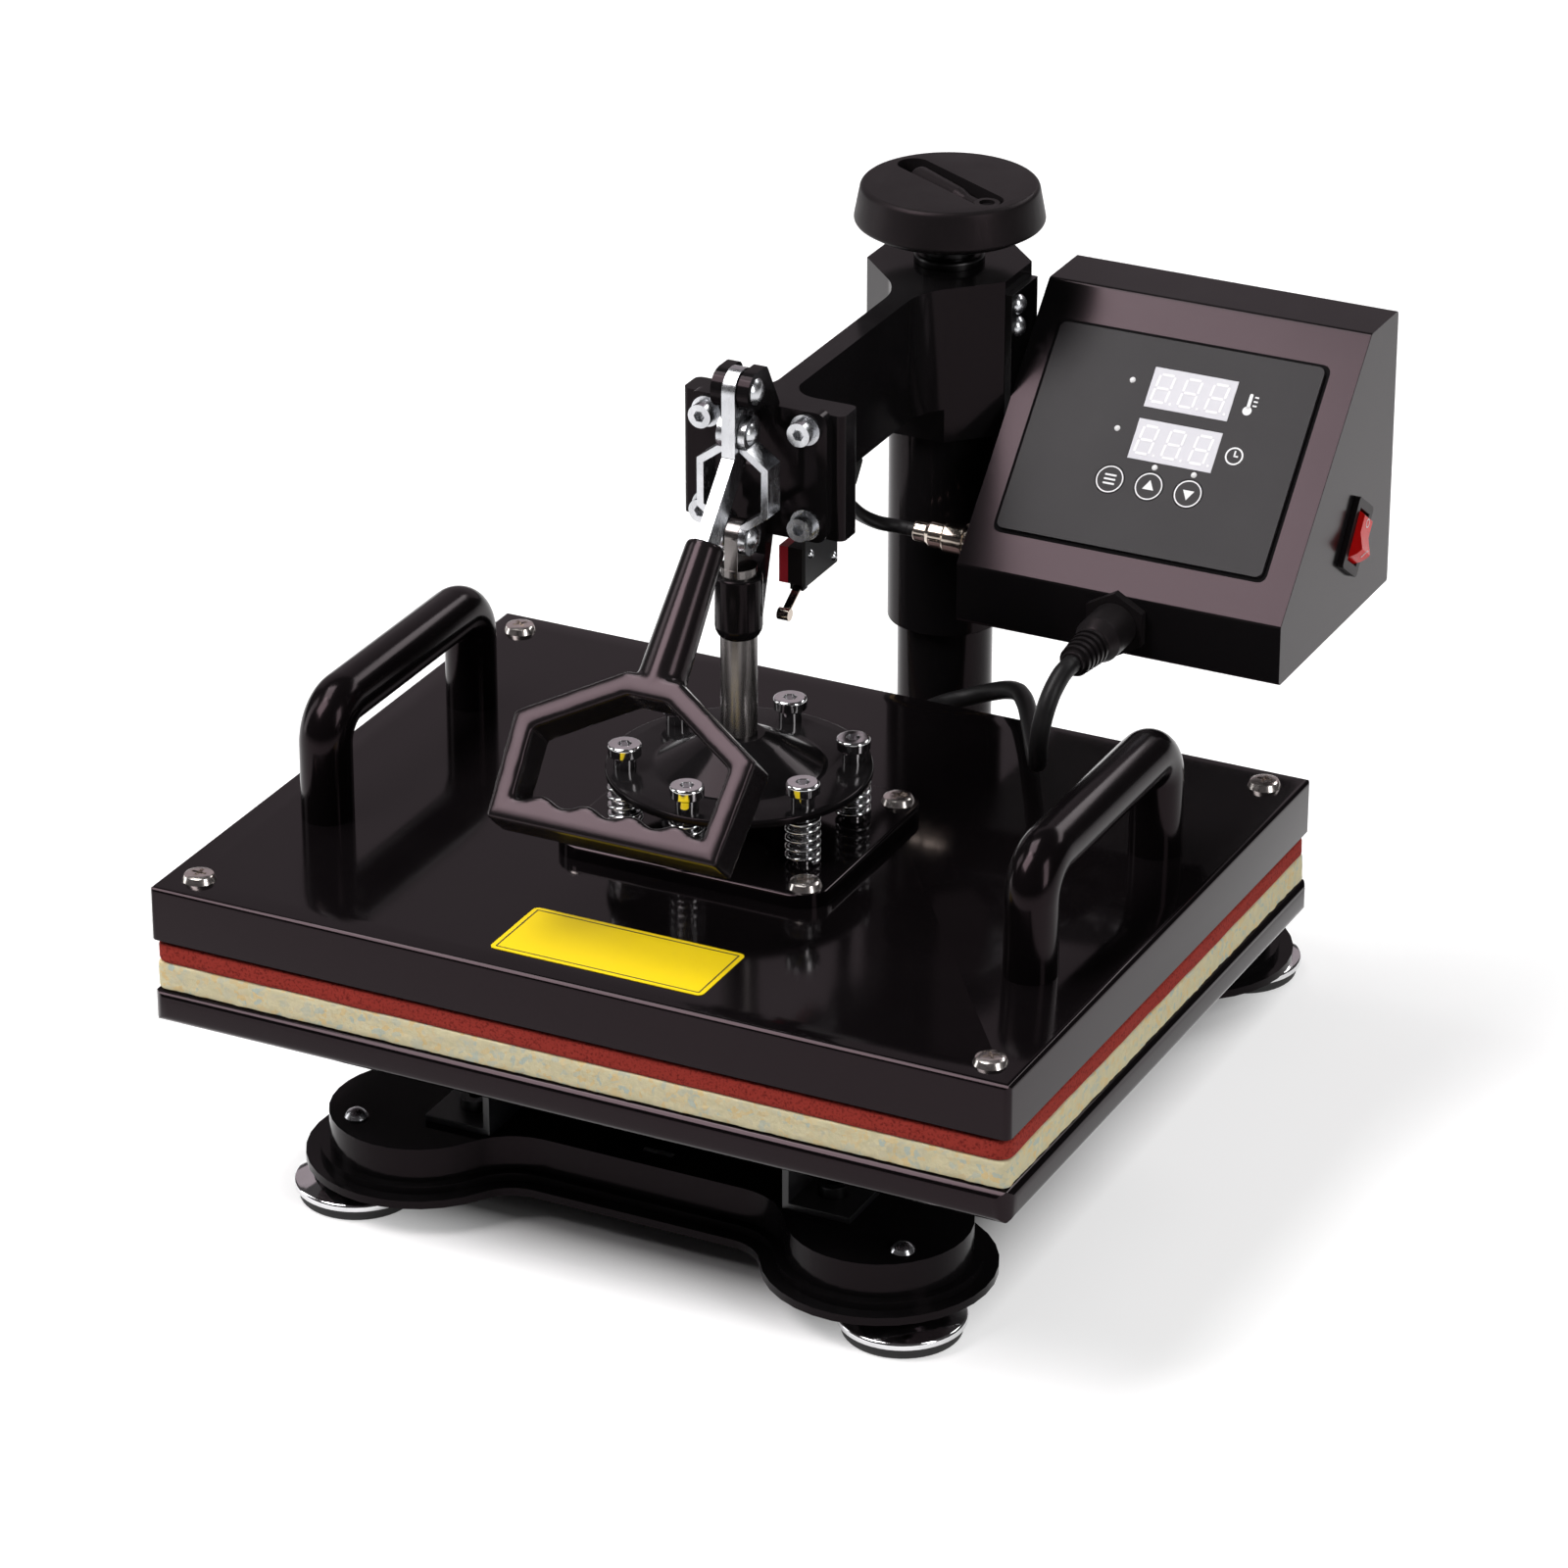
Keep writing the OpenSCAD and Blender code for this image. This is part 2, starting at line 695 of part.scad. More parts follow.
// The arm in plan: front plate, web, fillets at the plate and flare into the head
module arm_plan() {
    half = web_t / 2;
    nose_back = nose_y + nose_t;
    head_front = post_reach - head_af / 2;
    bevel = head_front - head_af / 2 * tan(22.5);
    flare = [half + flare_r, bevel + half + flare_r - flare_r * sqrt(2)];
    meet = flare + flare_r * [-sqrt(0.5), sqrt(0.5)];
    translate([0, nose_y + nose_t / 2]) polygon(rounded(oblong(nose_w, nose_t), 3));
    translate([-half, nose_back - over]) square([web_t, post_reach - nose_back]);
    for (side = [0, 1]) mirror([side, 0, 0]) {
        difference() {
            translate([half - over, nose_back - over]) square([nose_r + over, nose_r + over]);
            translate([half + nose_r, nose_back + nose_r]) circle(nose_r);
        }
        difference() {
            polygon([[0, flare[1]], [half, flare[1]], [flare[0], flare[1]], meet, [0, post_reach]]);
            translate(flare) circle(flare_r);
        }
    }
}

module at_toggle_screws() {
    for (sx = sides, sz = sides)
        translate([sx * toggle_screw_x / 2, toggle_back, toggle_z + toggle_h / 2 + sz * toggle_screw_z / 2])
            rotate([90, 0, 0]) children();
}

nut_d = 26;
nut_flange_d = 30;
nut_flange_t = 4;
toggle_screw_d = 6;
toggle_screw_l = 14;
bracket_screw_d = 5;
bracket_screw_l = 10;
bracket_size = [26, 54];
bracket_drop = 6;
bracket_z = arm_top - bracket_drop - bracket_size[1];
head_screw_drop = [12, 22];
head_screw_front = 6;
box_screw_back = [-3, 8];
box_screw_rise = 8;
grommet_y = 98;

// Two screws, seated at x, that hold the bracket to the head above the box's slope
module at_head_screws(x) {
    for (drop = head_screw_drop)
        translate([x, post_reach - head_screw_front, arm_top - drop]) rotate([0, 90, 0]) children();
}

// Two screws, seated at x, that hold the box to the bracket from inside
module at_box_screws(x) {
    for (back = box_screw_back)
        translate([x, post_reach + back, bracket_z + box_screw_rise]) rotate([0, 90, 0]) children();
}

module swing_arm() {
    color("#121214") difference() {
        union() {
            translate([0, 0, arm_z]) linear_extrude(arm_h) arm_plan();
            at_post() translate([0, 0, head_z]) head_prism(head_h);
        }
        at_post() translate([0, 0, head_z - over]) cylinder(d = sleeve_d, h = head_h - roof_t + over);
        at_post() translate([0, 0, head_z]) cylinder(d = nut_d, h = head_h + over);
        at_toggle_screws() translate([0, 0, -toggle_screw_l - 1])
            cylinder(d = toggle_screw_d + 2 * ease, h = toggle_screw_l + 1);
        at_head_screws(head_af / 2) translate([0, 0, -bracket_screw_l])
            cylinder(d = bracket_screw_d + 2 * ease, h = bracket_screw_l + over);
    }
}

module sleeve() {
    color("#101012") at_post() translate([0, 0, sleeve_z]) difference() {
        cylinder(d = sleeve_d, h = roof_z - sleeve_z);
        translate([0, 0, -over]) cylinder(d = sleeve_d - 2 * sleeve_wall, h = roof_z - sleeve_z + 2 * over);
    }
}

module sleeve_bushes() {
    upper = post_top - height_travel - bush_l;
    color("#b08d4a") for (z = [sleeve_z, upper]) at_post() translate([0, 0, z]) difference() {
        cylinder(d = sleeve_d - 2 * sleeve_wall, h = bush_l);
        translate([0, 0, -over]) cylinder(d = post_d + 2 * slip, h = bush_l + 2 * over);
    }
}

module screw_nut() {
    color("#1b1b1d") at_post() translate([0, 0, arm_top]) difference() {
        union() {
            rotate_extrude() polygon(rounded(
                [[0, 0], [nut_flange_d / 2, 0], [nut_flange_d / 2, nut_flange_t], [0, nut_flange_t]],
                [0, 0, 1.5, 0]));
            translate([0, 0, -roof_t]) cylinder(d = nut_d, h = roof_t + over);
        }
        translate([0, 0, -roof_t - over]) cylinder(d = screw_d + 2 * slip, h = roof_t + nut_flange_t + 2 * over);
    }
}

// Toggle

ear_r = lever_pin_d / 2 + 4.2;
ear_in = lever_t / 2 + gap;
gusset_t = 10;
pin_head_d = 11;
pin_head_h = 2.5;

// One casting: base plate, two ears for the lever's pin, and the rod's guide on a gusset
module toggle_frame() {
    guide_z = guide_top - guide_l;
    plate_low = toggle_z - lever_z;
    plate_high = plate_low + toggle_h;
    ear = [[nose_y, -30], [nose_y, plate_high - 2], [9, ear_r], [-ear_r, ear_r], [-ear_r, -ear_r], [10, -ear_r]];
    gusset = [[nose_y, toggle_z], [nose_y, toggle_z + 36], [toggle_back - 3, toggle_z + 30],
              [toggle_back - 3, guide_top + 4], [rod_d / 2 + 1, guide_top], [rod_d / 2 + 1, guide_z + 6],
              [guide_d / 2 + 2, guide_z + 6]];
    color("#141416") difference() {
        union() {
            translate([0, nose_y - toggle_t / 2, toggle_z]) along(toggle_t)
                polygon(rounded(wall(toggle_w, toggle_h), 5));
            for (side = sides) translate([side * (ear_in + ear_t / 2), 0, lever_z])
                across(ear_t) polygon(rounded(ear, [0, 0, 4, ear_r * 0.98, ear_r * 0.98, 3]));
            across(gusset_t) polygon(gusset);
            translate([0, 0, guide_z]) rotate_extrude() polygon(rounded(
                [[0, 0], [guide_d / 2, 0], [guide_d / 2, guide_l], [0, guide_l]], [0, 6, 1, 0]));
        }
        translate([0, 0, guide_z - over]) cylinder(d = rod_d + 2 * slip, h = guide_l + 2 * over);
        translate([0, 0, lever_z]) rotate([0, 90, 0]) cylinder(d = lever_pin_d, h = toggle_w, center = true);
        at_toggle_screws() translate([0, 0, -toggle_t - over])
            cylinder(d = toggle_screw_d + 2 * ease, h = toggle_t + 2 * over);
    }
}

module toggle_screws() {
    washer_d = 13;
    washer_h = 1.6;
    head_d = 10;
    head_h = 6;
    color("#c2c5c9") at_toggle_screws() {
        difference() {
            cylinder(d = washer_d, h = washer_h);
            translate([0, 0, -over]) cylinder(d = toggle_screw_d + 2 * ease, h = washer_h + 2 * over);
        }
        translate([0, 0, washer_h]) socket_screw(head_d, head_h, 5, toggle_screw_d, toggle_screw_l + washer_h);
    }
}

module lever_pin() {
    half = ear_in + ear_t;
    color("#bfc2c6") translate([0, 0, lever_z]) rotate([0, 90, 0]) {
        cylinder(d = lever_pin_d, h = 2 * half, center = true);
        translate([0, 0, half]) dome(pin_head_d, pin_head_h);
        rotate([180, 0, 0]) translate([0, 0, half]) dome(pin_head_d, pin_head_h);
    }
}

// The lever: a flat bar, upright past its own pivot and the links', then bent towards the hand
module lever_bar() {
    pivot_r = 9;
    tang = loop_start - 8;
    half = lever_w / 2;
    down = [-sin(lever_lean), -cos(lever_lean)];
    back = [cos(lever_lean), -sin(lever_lean)];
    bend = [0, -bend_drop];
    reach = (pivot_r - half * cos(lever_lean)) / sin(lever_lean);
    end_low = bend + tang * down + half * back;
    outline = concat(
        [bend + tang * down - half * back, end_low],
        corner(end_low, bend - reach * down + half * back, [pivot_r, 0], 4, 4),
        arc([0, 0], pivot_r, 0, 180, 12),
        [bend + reach * down - half * back]);
    color("#c6c9cd") translate([0, 0, lever_z]) across(lever_t) difference() {
        polygon(outline);
        circle(d = lever_pin_d + 2 * slip);
        translate([0, -crank_r]) circle(d = link_pin_d + 2 * slip);
    }
}

// Moves to the lever's bend, with -Z along the lever
module along_lever() {
    translate([0, 0, lever_z - bend_drop]) rotate([-lever_lean, 0, 0]) children();
}

loop_steps = 24;
loop_sides = 12;
loop_square = 0.25;

// Bar of the loop with mitred corners, swept round its centre line; the low bar has the scallops inside
module loop_bar() {
    inset = loop_bar_w / 2;
    side_x = loop_w / 2 - inset;
    side_s = loop_start + loop_l * 0.4;
    low_s = loop_start + loop_l - inset;
    line = [
        [2 - side_x, low_s], [side_x - 2, low_s], [side_x, side_s],
        [loop_top_w / 2, loop_start + inset], [-loop_top_w / 2, loop_start + inset], [-side_x, side_s]];
    lead_in = 1.3 * inset * unit(line[1] - line[0]);
    low_first = line[0] + lead_in;
    low_run = line[1] - lead_in - low_first;
    path = concat(
        [line[0]],
        [for (i = [0:loop_steps]) low_first + low_run * i / loop_steps],
        [for (i = [1:len(line) - 1]) line[i]]);
    m = len(path);
    points = [for (i = [0:m - 1], k = [0:loop_sides - 1])
        let (before = unit(path[i] - path[(i + m - 1) % m]), after = unit(path[(i + 1) % m] - path[i]),
             t = unit(before + after), out = [-t[1], t[0]] / (t * before), step = i - 1,
             on_run = step > 0 && step < loop_steps,
             wave = on_run ? finger_depth * (1 - cos(360 * finger_count * step / loop_steps)) / 2 : 0,
             c = cos(360 * k / loop_sides), s = sin(360 * k / loop_sides),
             reach = sign(c) * pow(abs(c), loop_square) * (inset + (c < 0 ? wave : 0)),
             thick = sign(s) * pow(abs(s), loop_square) * loop_bar_t / 2)
        [path[i][0] + out[0] * reach, thick, -path[i][1] - out[1] * reach]];
    faces = [for (i = [0:m - 1], k = [0:loop_sides - 1])
        let (j = (i + 1) % m, l = (k + 1) % loop_sides,
             a = i * loop_sides + k, b = i * loop_sides + l, c = j * loop_sides + l, d = j * loop_sides + k)
        each [[a, d, c], [a, c, b]]];
    polyhedron(points, faces, convexity = 6);
}

module lever_handle() {
    neck_d = 16;
    neck_end_d = 20.5;
    neck_l = loop_start + loop_bar_w / 2 - neck_start;
    color("#1b1b1d") along_lever() difference() {
        union() {
            translate([0, 0, -neck_start - neck_l]) rotate_extrude() polygon(rounded(
                [[0, 0], [neck_end_d / 2, 0], [neck_d / 2, neck_l], [0, neck_l]], [0, 3, 1.5, 0]));
            loop_bar();
        }
        translate([-lever_t / 2 - ease, -lever_w / 2 - ease, -loop_start + 8 - over])
            cube([lever_t + 2 * ease, lever_w + 2 * ease, loop_start]);
    }
}

// Joggled link plates, drawn as a bent strip cut to a strip with round ends
rivet_head_d = link_pin_d + 2.5;

module toggle_links() {
    bend = 7;
    half_w = eye_r - 2;
    lean_in = link_t * tan(atan2(link_bow, bend) / 2);
    straight = rivet_head_d / 2 + lean_in + ease;
    top = link_up_z + eye_r;
    bottom = link_low_z - eye_r;
    high = link_up_z - straight;
    low = link_low_z + straight;
    strip = [
        [ear_in, bottom], [ear_in + link_t, bottom],
        [ear_in + link_t, low - lean_in], [ear_in + link_bow + link_t, low + bend - lean_in],
        [ear_in + link_bow + link_t, high - bend + lean_in], [ear_in + link_t, high + lean_in],
        [ear_in + link_t, top], [ear_in, top],
        [ear_in, high], [ear_in + link_bow, high - bend],
        [ear_in + link_bow, low + bend], [ear_in, low]];
    color("#c4c7cb") for (side = [0, 1]) mirror([side, 0, 0]) difference() {
        intersection() {
            along(4 * eye_r) polygon(strip);
            across(toggle_w) {
                translate([0, link_up_z]) circle(eye_r);
                translate([0, link_low_z]) circle(eye_r);
                translate([-half_w, link_low_z]) square([2 * half_w, link_l]);
            }
        }
        for (z = [link_low_z, link_up_z]) translate([0, 0, z]) rotate([0, 90, 0])
            cylinder(d = link_pin_d + 2 * ease, h = toggle_w, center = true);
    }
}

// One pin through both links and the lever; at the plunger a rivet in each link
module link_pins() {
    half = ear_in + link_t;
    head_h = 2;
    color("#c4c7cb") {
        translate([0, 0, link_up_z]) rotate([0, 90, 0]) cylinder(d = link_pin_d, h = 2 * half, center = true);
        for (side = [0, 1], z = [link_low_z, link_up_z])
            mirror([side, 0, 0]) translate([half, 0, z]) rotate([0, 90, 0]) dome(rivet_head_d, head_h);
        for (side = [0, 1])
            mirror([side, 0, 0]) translate([ear_in, 0, link_low_z]) rotate([0, 90, 0])
                cylinder(d = link_pin_d, h = link_t);
    }
}

// Travel switch on an upright plate under the arm's front plate

bracket_plate_t = 1.5;
switch_size = [10.3, 27.8, 15.9];
switch_at = [6.1, nose_y + 2.5, arm_z - 23.7];
switch_plate_x = switch_at[0] + switch_size[0];
switch_plate = [29.5, 24.3];
switch_flange = [16, 8.5];
switch_screws = [[4.6, -11.2], [26, -20.5]];

module switch_bracket() {
    color("#2a2a2c") translate([switch_plate_x, switch_at[1], arm_z]) {
        translate([0, 0, -switch_plate[1]]) cube([bracket_plate_t, switch_plate[0], switch_plate[1]]);
        translate([0, 2, -bracket_plate_t]) cube([switch_flange[0], switch_flange[1], bracket_plate_t]);
        for (at = switch_screws) translate([bracket_plate_t, at[0], at[1]]) rotate([0, 90, 0]) dome(4, 1.5);
    }
}

hinge_d = 1.6;
hinge_l = 5.8;
hinge_lug_t = 1;
switch_pivot = switch_at + [switch_size[0] - hinge_l / 2, 3, -1.3];

module switch_body() {
    color("#a01c1c") {
        translate(switch_at) cube(switch_size);
        for (side = sides) translate(switch_pivot + [side * (hinge_l - hinge_lug_t) / 2, 0, 0]) difference() {
            translate([-hinge_lug_t / 2, -2, -1.5]) cube([hinge_lug_t, 4, 4]);
            rotate([0, 90, 0]) cylinder(d = hinge_d, h = 2 * hinge_lug_t, center = true);
        }
    }
}

// Blade and roller, pointing forwards and down from the hinge
module switch_lever() {
    blade = [3.4, 15, 0.8];
    roller_d = 5;
    lean = 31;
    color("#b9bcc0") translate(switch_pivot) {
        rotate([0, 90, 0]) cylinder(d = hinge_d - 2 * slip, h = hinge_l, center = true);
        rotate([lean, 0, 0]) {
            translate([-blade[0] / 2, -blade[1], -blade[2] / 2]) cube(blade);
            translate([0, -blade[1], 0]) rotate([0, 90, 0]) cylinder(d = roller_d, h = 5, center = true);
        }
    }
}

// Control box

// Outline of the box in Y and Z, drawn in by a wall thickness; back_by moves its back edge
function box_outline(t, back_by) = [
    [box_y + t, box_z + t], [box_y + box_depth + back_by, box_z + t],
    [box_y + box_depth + back_by, box_z + box_h - t],
    [box_y + slope_y + t * tan(slope / 2), box_z + box_h - t],
    [box_y + t, lip_z - t * tan((90 - slope) / 2)]];

// Moves to the lower edge of the sloping panel: X across, Y up the slope, Z out of it
module on_slope() {
    translate([0, box_y, lip_z]) rotate([slope, 0, 0]) children();
}

module on_panel(x, s) {
    on_slope() translate([panel_x + x, panel_s + s, 0]) children();
}

rocker_back = 77.5;
rocker_z = box_z + 37;
rocker_hole = [rocker_l - 5, rocker_w - 5];

// Moves to the rocker switch on the right-hand side: Y along the rocker, Z out of the box
module on_rocker() {
    translate([box_x + box_w, box_y + rocker_back, rocker_z]) rotate([90, 0, 90]) rotate(-rocker_lean)
        children();
}

heater_plug_x = 73.5;
heater_plug_z = 14.5;
socket_d = 20;
switch_plug_y = box_y + 28;
switch_plug_z = box_z + 24.5;
switch_hole_d = 9;
panel_hole = [96, 70];
gland_x = 30;
gland_z = 30;
gland_d = 16;

module box_shell() {
    color("#0f0f11") difference() {
        translate([box_x + box_w / 2, 0, 0]) across(box_w)
            polygon(rounded(box_outline(0, 0), [2, 1, 2, 3, 1.5]));
        translate([box_x + box_w / 2, 0, 0]) across(box_w - 2 * box_t) polygon(box_outline(box_t, 1));
        on_panel(0, 0) linear_extrude(4 * box_t, center = true) square(panel_hole, center = true);
        on_rocker() linear_extrude(4 * box_t, center = true) square([rocker_hole[1], rocker_hole[0]], center = true);
        translate([box_x + heater_plug_x, box_y, box_z + heater_plug_z]) rotate([90, 0, 0])
            cylinder(d = socket_d - 6 + 2 * ease, h = 4 * box_t, center = true);
        translate([box_x, switch_plug_y, switch_plug_z]) rotate([0, 90, 0])
            cylinder(d = switch_hole_d + 2 * ease, h = 4 * box_t, center = true);
        at_box_screws(box_x) translate([0, 0, -over])
            cylinder(d = bracket_screw_d + 2 * ease, h = box_t + 2 * over);
    }
}

// Back sheet, let into the shell, with louvres
module box_back() {
    vent = [40, 3];
    vent_pitch = 8;
    vent_count = 5;
    color("#131315") difference() {
        translate([box_x + box_w / 2, box_y + box_depth - box_t / 2, box_z + box_t]) along(box_t)
            polygon(wall(box_w - 2 * box_t, box_h - 2 * box_t));
        translate([box_x + gland_x, box_y + box_depth, box_z + gland_z]) rotate([90, 0, 0])
            cylinder(d = gland_d - 4 + 2 * ease, h = 4 * box_t, center = true);
        for (row = [0:vent_count - 1])
            translate([box_x + box_w * 0.6, box_y + box_depth, box_z + box_h / 2 + vent_pitch * row])
                cube([vent[0], 4 * box_t, vent[1]], center = true);
    }
}

module box_bracket() {
    color("#a9acb0") difference() {
        translate([head_af / 2, post_reach - bracket_size[0] / 2, bracket_z])
            cube([bracket_t, bracket_size[0], bracket_size[1]]);
        at_head_screws(head_af / 2) translate([0, 0, -over])
            cylinder(d = bracket_screw_d + 2 * ease, h = bracket_t + 2 * over);
        at_box_screws(head_af / 2) translate([0, 0, -over])
            cylinder(d = bracket_screw_d + 2 * ease, h = bracket_t + 2 * over);
    }
}

module box_screws() {
    head_d = 9;
    head_h = 3;
    color("#b5b8bc") {
        at_head_screws(box_x) domed_screw(head_d, head_h, bracket_screw_d, bracket_t + bracket_screw_l - 1);
        at_box_screws(box_x + box_t) domed_screw(head_d, head_h, bracket_screw_d, box_t + bracket_t - gap);
    }
}

board_below = 5;
pcb_t = 1.6;
pcb_margin = 12;

module control_board() {
    color("#1f5b34") on_panel(0, 0) {
        translate([0, 0, -board_below - pcb_t]) linear_extrude(pcb_t)
            square([panel_hole[0] + pcb_margin, panel_hole[1] + pcb_margin], center = true);
        for (sx = sides, sy = sides)
            translate([sx * (panel_hole[0] + pcb_margin / 2) / 2, sy * (panel_hole[1] + pcb_margin / 2) / 2,
                       -board_below - over])
                cylinder(d = pcb_margin / 2 - 1, h = board_below - box_t + over);
    }
}

window_x = 6;
window_s = [25.6, 2.2];
lamp_d = 2.6;
lamp_places = [[-21, 27], [-21, 5], [0.4, -9], [0.4 + key_pitch, -9]];
key_s = -17.6;
key_x = 0.4;

module at_windows() {
    for (s = window_s) on_panel(window_x, s) children();
}

module at_lamps() {
    for (place = lamp_places) on_panel(place[0], place[1]) children();
}

module display_panel() {
    color("#1a1a1d") difference() {
        on_panel(0, 0) linear_extrude(panel_t) polygon(rounded(oblong(panel_w, panel_l), 3));
        at_windows() linear_extrude(4 * panel_t, center = true)
            square([window_w + 2 * ease, window_l + 2 * ease], center = true);
        at_lamps() cylinder(d = lamp_d + 2 * ease, h = 4 * panel_t, center = true);
        for (i = [-1:1]) on_panel(key_x + i * key_pitch, key_s)
            cylinder(d = key_d + 2 * slip + 2 * ease, h = 4 * panel_t, center = true);
    }
}

module display_windows() {
    color("#d8d9de") at_windows() translate([0, 0, -board_below]) linear_extrude(board_below + panel_t - 0.2)
        square([window_w, window_l], center = true);
}

module indicator_lamps() {
    color("#e6e6e8") at_lamps() translate([0, 0, -board_below]) {
        cylinder(d = lamp_d, h = board_below + panel_t - 0.2);
        translate([0, 0, board_below + panel_t - 0.2]) dome(lamp_d, 0.5);
    }
}

// A round key whose stem stands just clear of the board
module panel_key(place) {
    stem_d = key_d / 3;
    color("#2a2a2e") on_panel(key_x + place * key_pitch, key_s) {
        translate([0, 0, -1]) cylinder(d = key_d, h = panel_t + 1);
        translate([0, 0, -board_below + key_travel + gap]) cylinder(d = stem_d, h = board_below - key_travel - gap);
    }
}

module set_key() {
    panel_key(-1);
}

module up_key() {
    panel_key(0);
}

module down_key() {
    panel_key(1);
}

rocker_pivot_z = -2;
rocker_r = (rocker_l - 9) / 2;
bezel_t = 2.5;

module rocker_bezel() {
    well = 12;
    color("#141416") on_rocker() difference() {
        union() {
            linear_extrude(bezel_t) polygon(rounded(oblong(rocker_w, rocker_l), 2));
            translate([0, 0, -well]) linear_extrude(well + over)
                square([rocker_hole[1] - 2 * ease, rocker_hole[0] - 2 * ease], center = true);
        }
        translate([0, 0, 2 - well]) linear_extrude(well + bezel_t)
            square([rocker_w - 8, 2 * (rocker_r + gap)], center = true);
    }
}

// The rocker turns in its bezel about an axis across it; it is shown with its upper half pressed in
module rocker() {
    width = rocker_w - 8 - 2 * gap;
    color("#c02018") on_rocker() translate([0, 0, rocker_pivot_z]) rotate([-rocker_swing / 2, 0, 0])
        across(width) intersection() {
            circle(rocker_r);
            polygon([[-rocker_r, -4], [rocker_r, -4], [rocker_r, 9], [0, 7], [-rocker_r, 9]]);
        }
    color("#c02018") on_rocker() translate([0, 0, rocker_pivot_z]) rotate([0, 90, 0])
        cylinder(d = 4, h = rocker_w - 8 - 2 * slip, center = true);
}

module switch_plug() {
    plug_l = 32;
    color("#b4b7bb") translate([box_x, switch_plug_y, switch_plug_z]) rotate([0, -90, 0]) {
        rotate_extrude() polygon(rounded(
            [[0, 0], [8, 0], [8, 4], [6.2, 4], [6.2, 8], [7, 8], [7, 17], [6, 18], [6, 24], [4.6, 26],
             [4.6, plug_l], [0, plug_l]],
            [0, 0.4, 0.4, 0.3, 0.3, 0.6, 0.6, 0.3, 0.6, 1, 1, 0]));
        translate([0, 0, -6]) cylinder(d = switch_hole_d, h = 7);
    }
}

heater_plug_l = 46;
relief_l = 20;

// Hexagon flange, barrel and ribbed strain relief, all pointing forwards
module heater_plug() {
    flange_af = 25;
    barrel_l = heater_plug_l - relief_l;
    rib = 2.5;
    color("#1a1a1c") translate([box_x + heater_plug_x, box_y, box_z + heater_plug_z]) rotate([90, 0, 0]) {
        rotate(30) cylinder(d = flange_af / cos(30), h = 4, $fn = 6);
        translate([0, 0, -8]) cylinder(d = socket_d - 6, h = 9);
        rotate_extrude() polygon(rounded(
            [[0, 2], [socket_d / 2, 2], [socket_d / 2, barrel_l - 6], [socket_d / 2 - 2.5, barrel_l],
             [heater_lead_d / 2 + 3, barrel_l], [heater_lead_d / 2 + 1, heater_plug_l], [0, heater_plug_l]],
            [0, 0.5, 2, 1, 0.5, 0.5, 0]));
        for (i = [0:4]) translate([0, 0, barrel_l + 1 + 3.6 * i])
            cylinder(d = heater_lead_d + 8 - 0.7 * i, h = rib - 0.5);
    }
}

// Entry for the mains lead, blanked off
module mains_gland() {
    dimple_d = 8;
    color("#18181a") translate([box_x + gland_x, box_y + box_depth, box_z + gland_z]) rotate([-90, 0, 0])
        difference() {
            union() {
                rotate(30) cylinder(d = (gland_d + 3) / cos(30), h = 5, $fn = 6);
                translate([0, 0, 4]) dome(gland_d, 9);
                translate([0, 0, -6]) cylinder(d = gland_d - 4, h = 7);
            }
            translate([0, 0, 9]) cylinder(d = dimple_d, h = 5);
        }
}

// Leads: routes are points on the centre line, from the plug on

grommet_l = 10;
switch_route = [
    for (p = [[3, 160, 73], [1, 160, 73], [-1, 160, 73], [-6, 158.5, 73.8], [-11, 152, 77], [-12.5, 140, 84.5],
              [-10.5, 126, 94], [-7, 114, 102], [-3, 104, 108.5], [-0.6, 99, 112.5], [0, 98, 115],
              [0, 98, 116.5], [0, 98, 118]])
        p + [0, 0, arm_z - grommet_l - 118]];
heater_route = [
    for (p = [[108.5, 86, 62], [108.5, 83.5, 62], [108.5, 81, 62], [108, 76, 60.5], [107, 69, 55],
              [105.7, 64.5, 46], [104, 64.5, 35.5], [101.5, 69.5, 25.5], [97, 79, 18], [90.5, 92, 13.5],
              [82, 108, 11.5], [72.5, 126, 11], [62.5, 144, 10], [52.5, 159, 7], [42.5, 169, 2],
              [32, 174.5, -3.5], [21.5, 174.5, -8], [13, 169.5, -10.5], [9.6, 164.5, -11.3],
              [9, 161.5, -11.3], [9, 160, -11.3], [9, 158, -11.3]])
        p + [0, 0, cover_top]];

module switch_lead() {
    color("#1d1d1f") tube(smooth_path(switch_route, 3), switch_lead_d / 2, 8, [0, 0, 1]);
}

module heater_lead() {
    color("#26262a") tube(smooth_path(heater_route, 2), heater_lead_d / 2, 8, [1, 0, 0]);
}

// Tapered entry for the switch lead under the arm's web
module lead_grommet() {
    color("#1a1a1a") translate([0, grommet_y, arm_z - grommet_l])
        cylinder(d1 = switch_lead_d + 3, d2 = switch_lead_d + 8, h = grommet_l);
}

lead_gland_at = [9, cover_d / 2, cover_top - 11.3];
lead_gland_l = 8;

module lead_gland() {
    color("#1a1a1a") translate(lead_gland_at) rotate([-90, 0, 0]) {
        rotate_extrude() polygon(rounded(
            [[0, 0], [9, 0], [9, 2.5], [heater_lead_d / 2 + 2.5, 3], [heater_lead_d / 2 + 1.5, lead_gland_l],
             [0, lead_gland_l]], [0, 0, 1, 0.3, 0.8, 0]));
        translate([0, 0, -cover_t]) cylinder(d = heater_lead_d + 3, h = cover_t + 1);
    }
}

// Plunger and floating disc

collar_d = 26;
collar_h = 5;
tab_w = rod_d - 1;

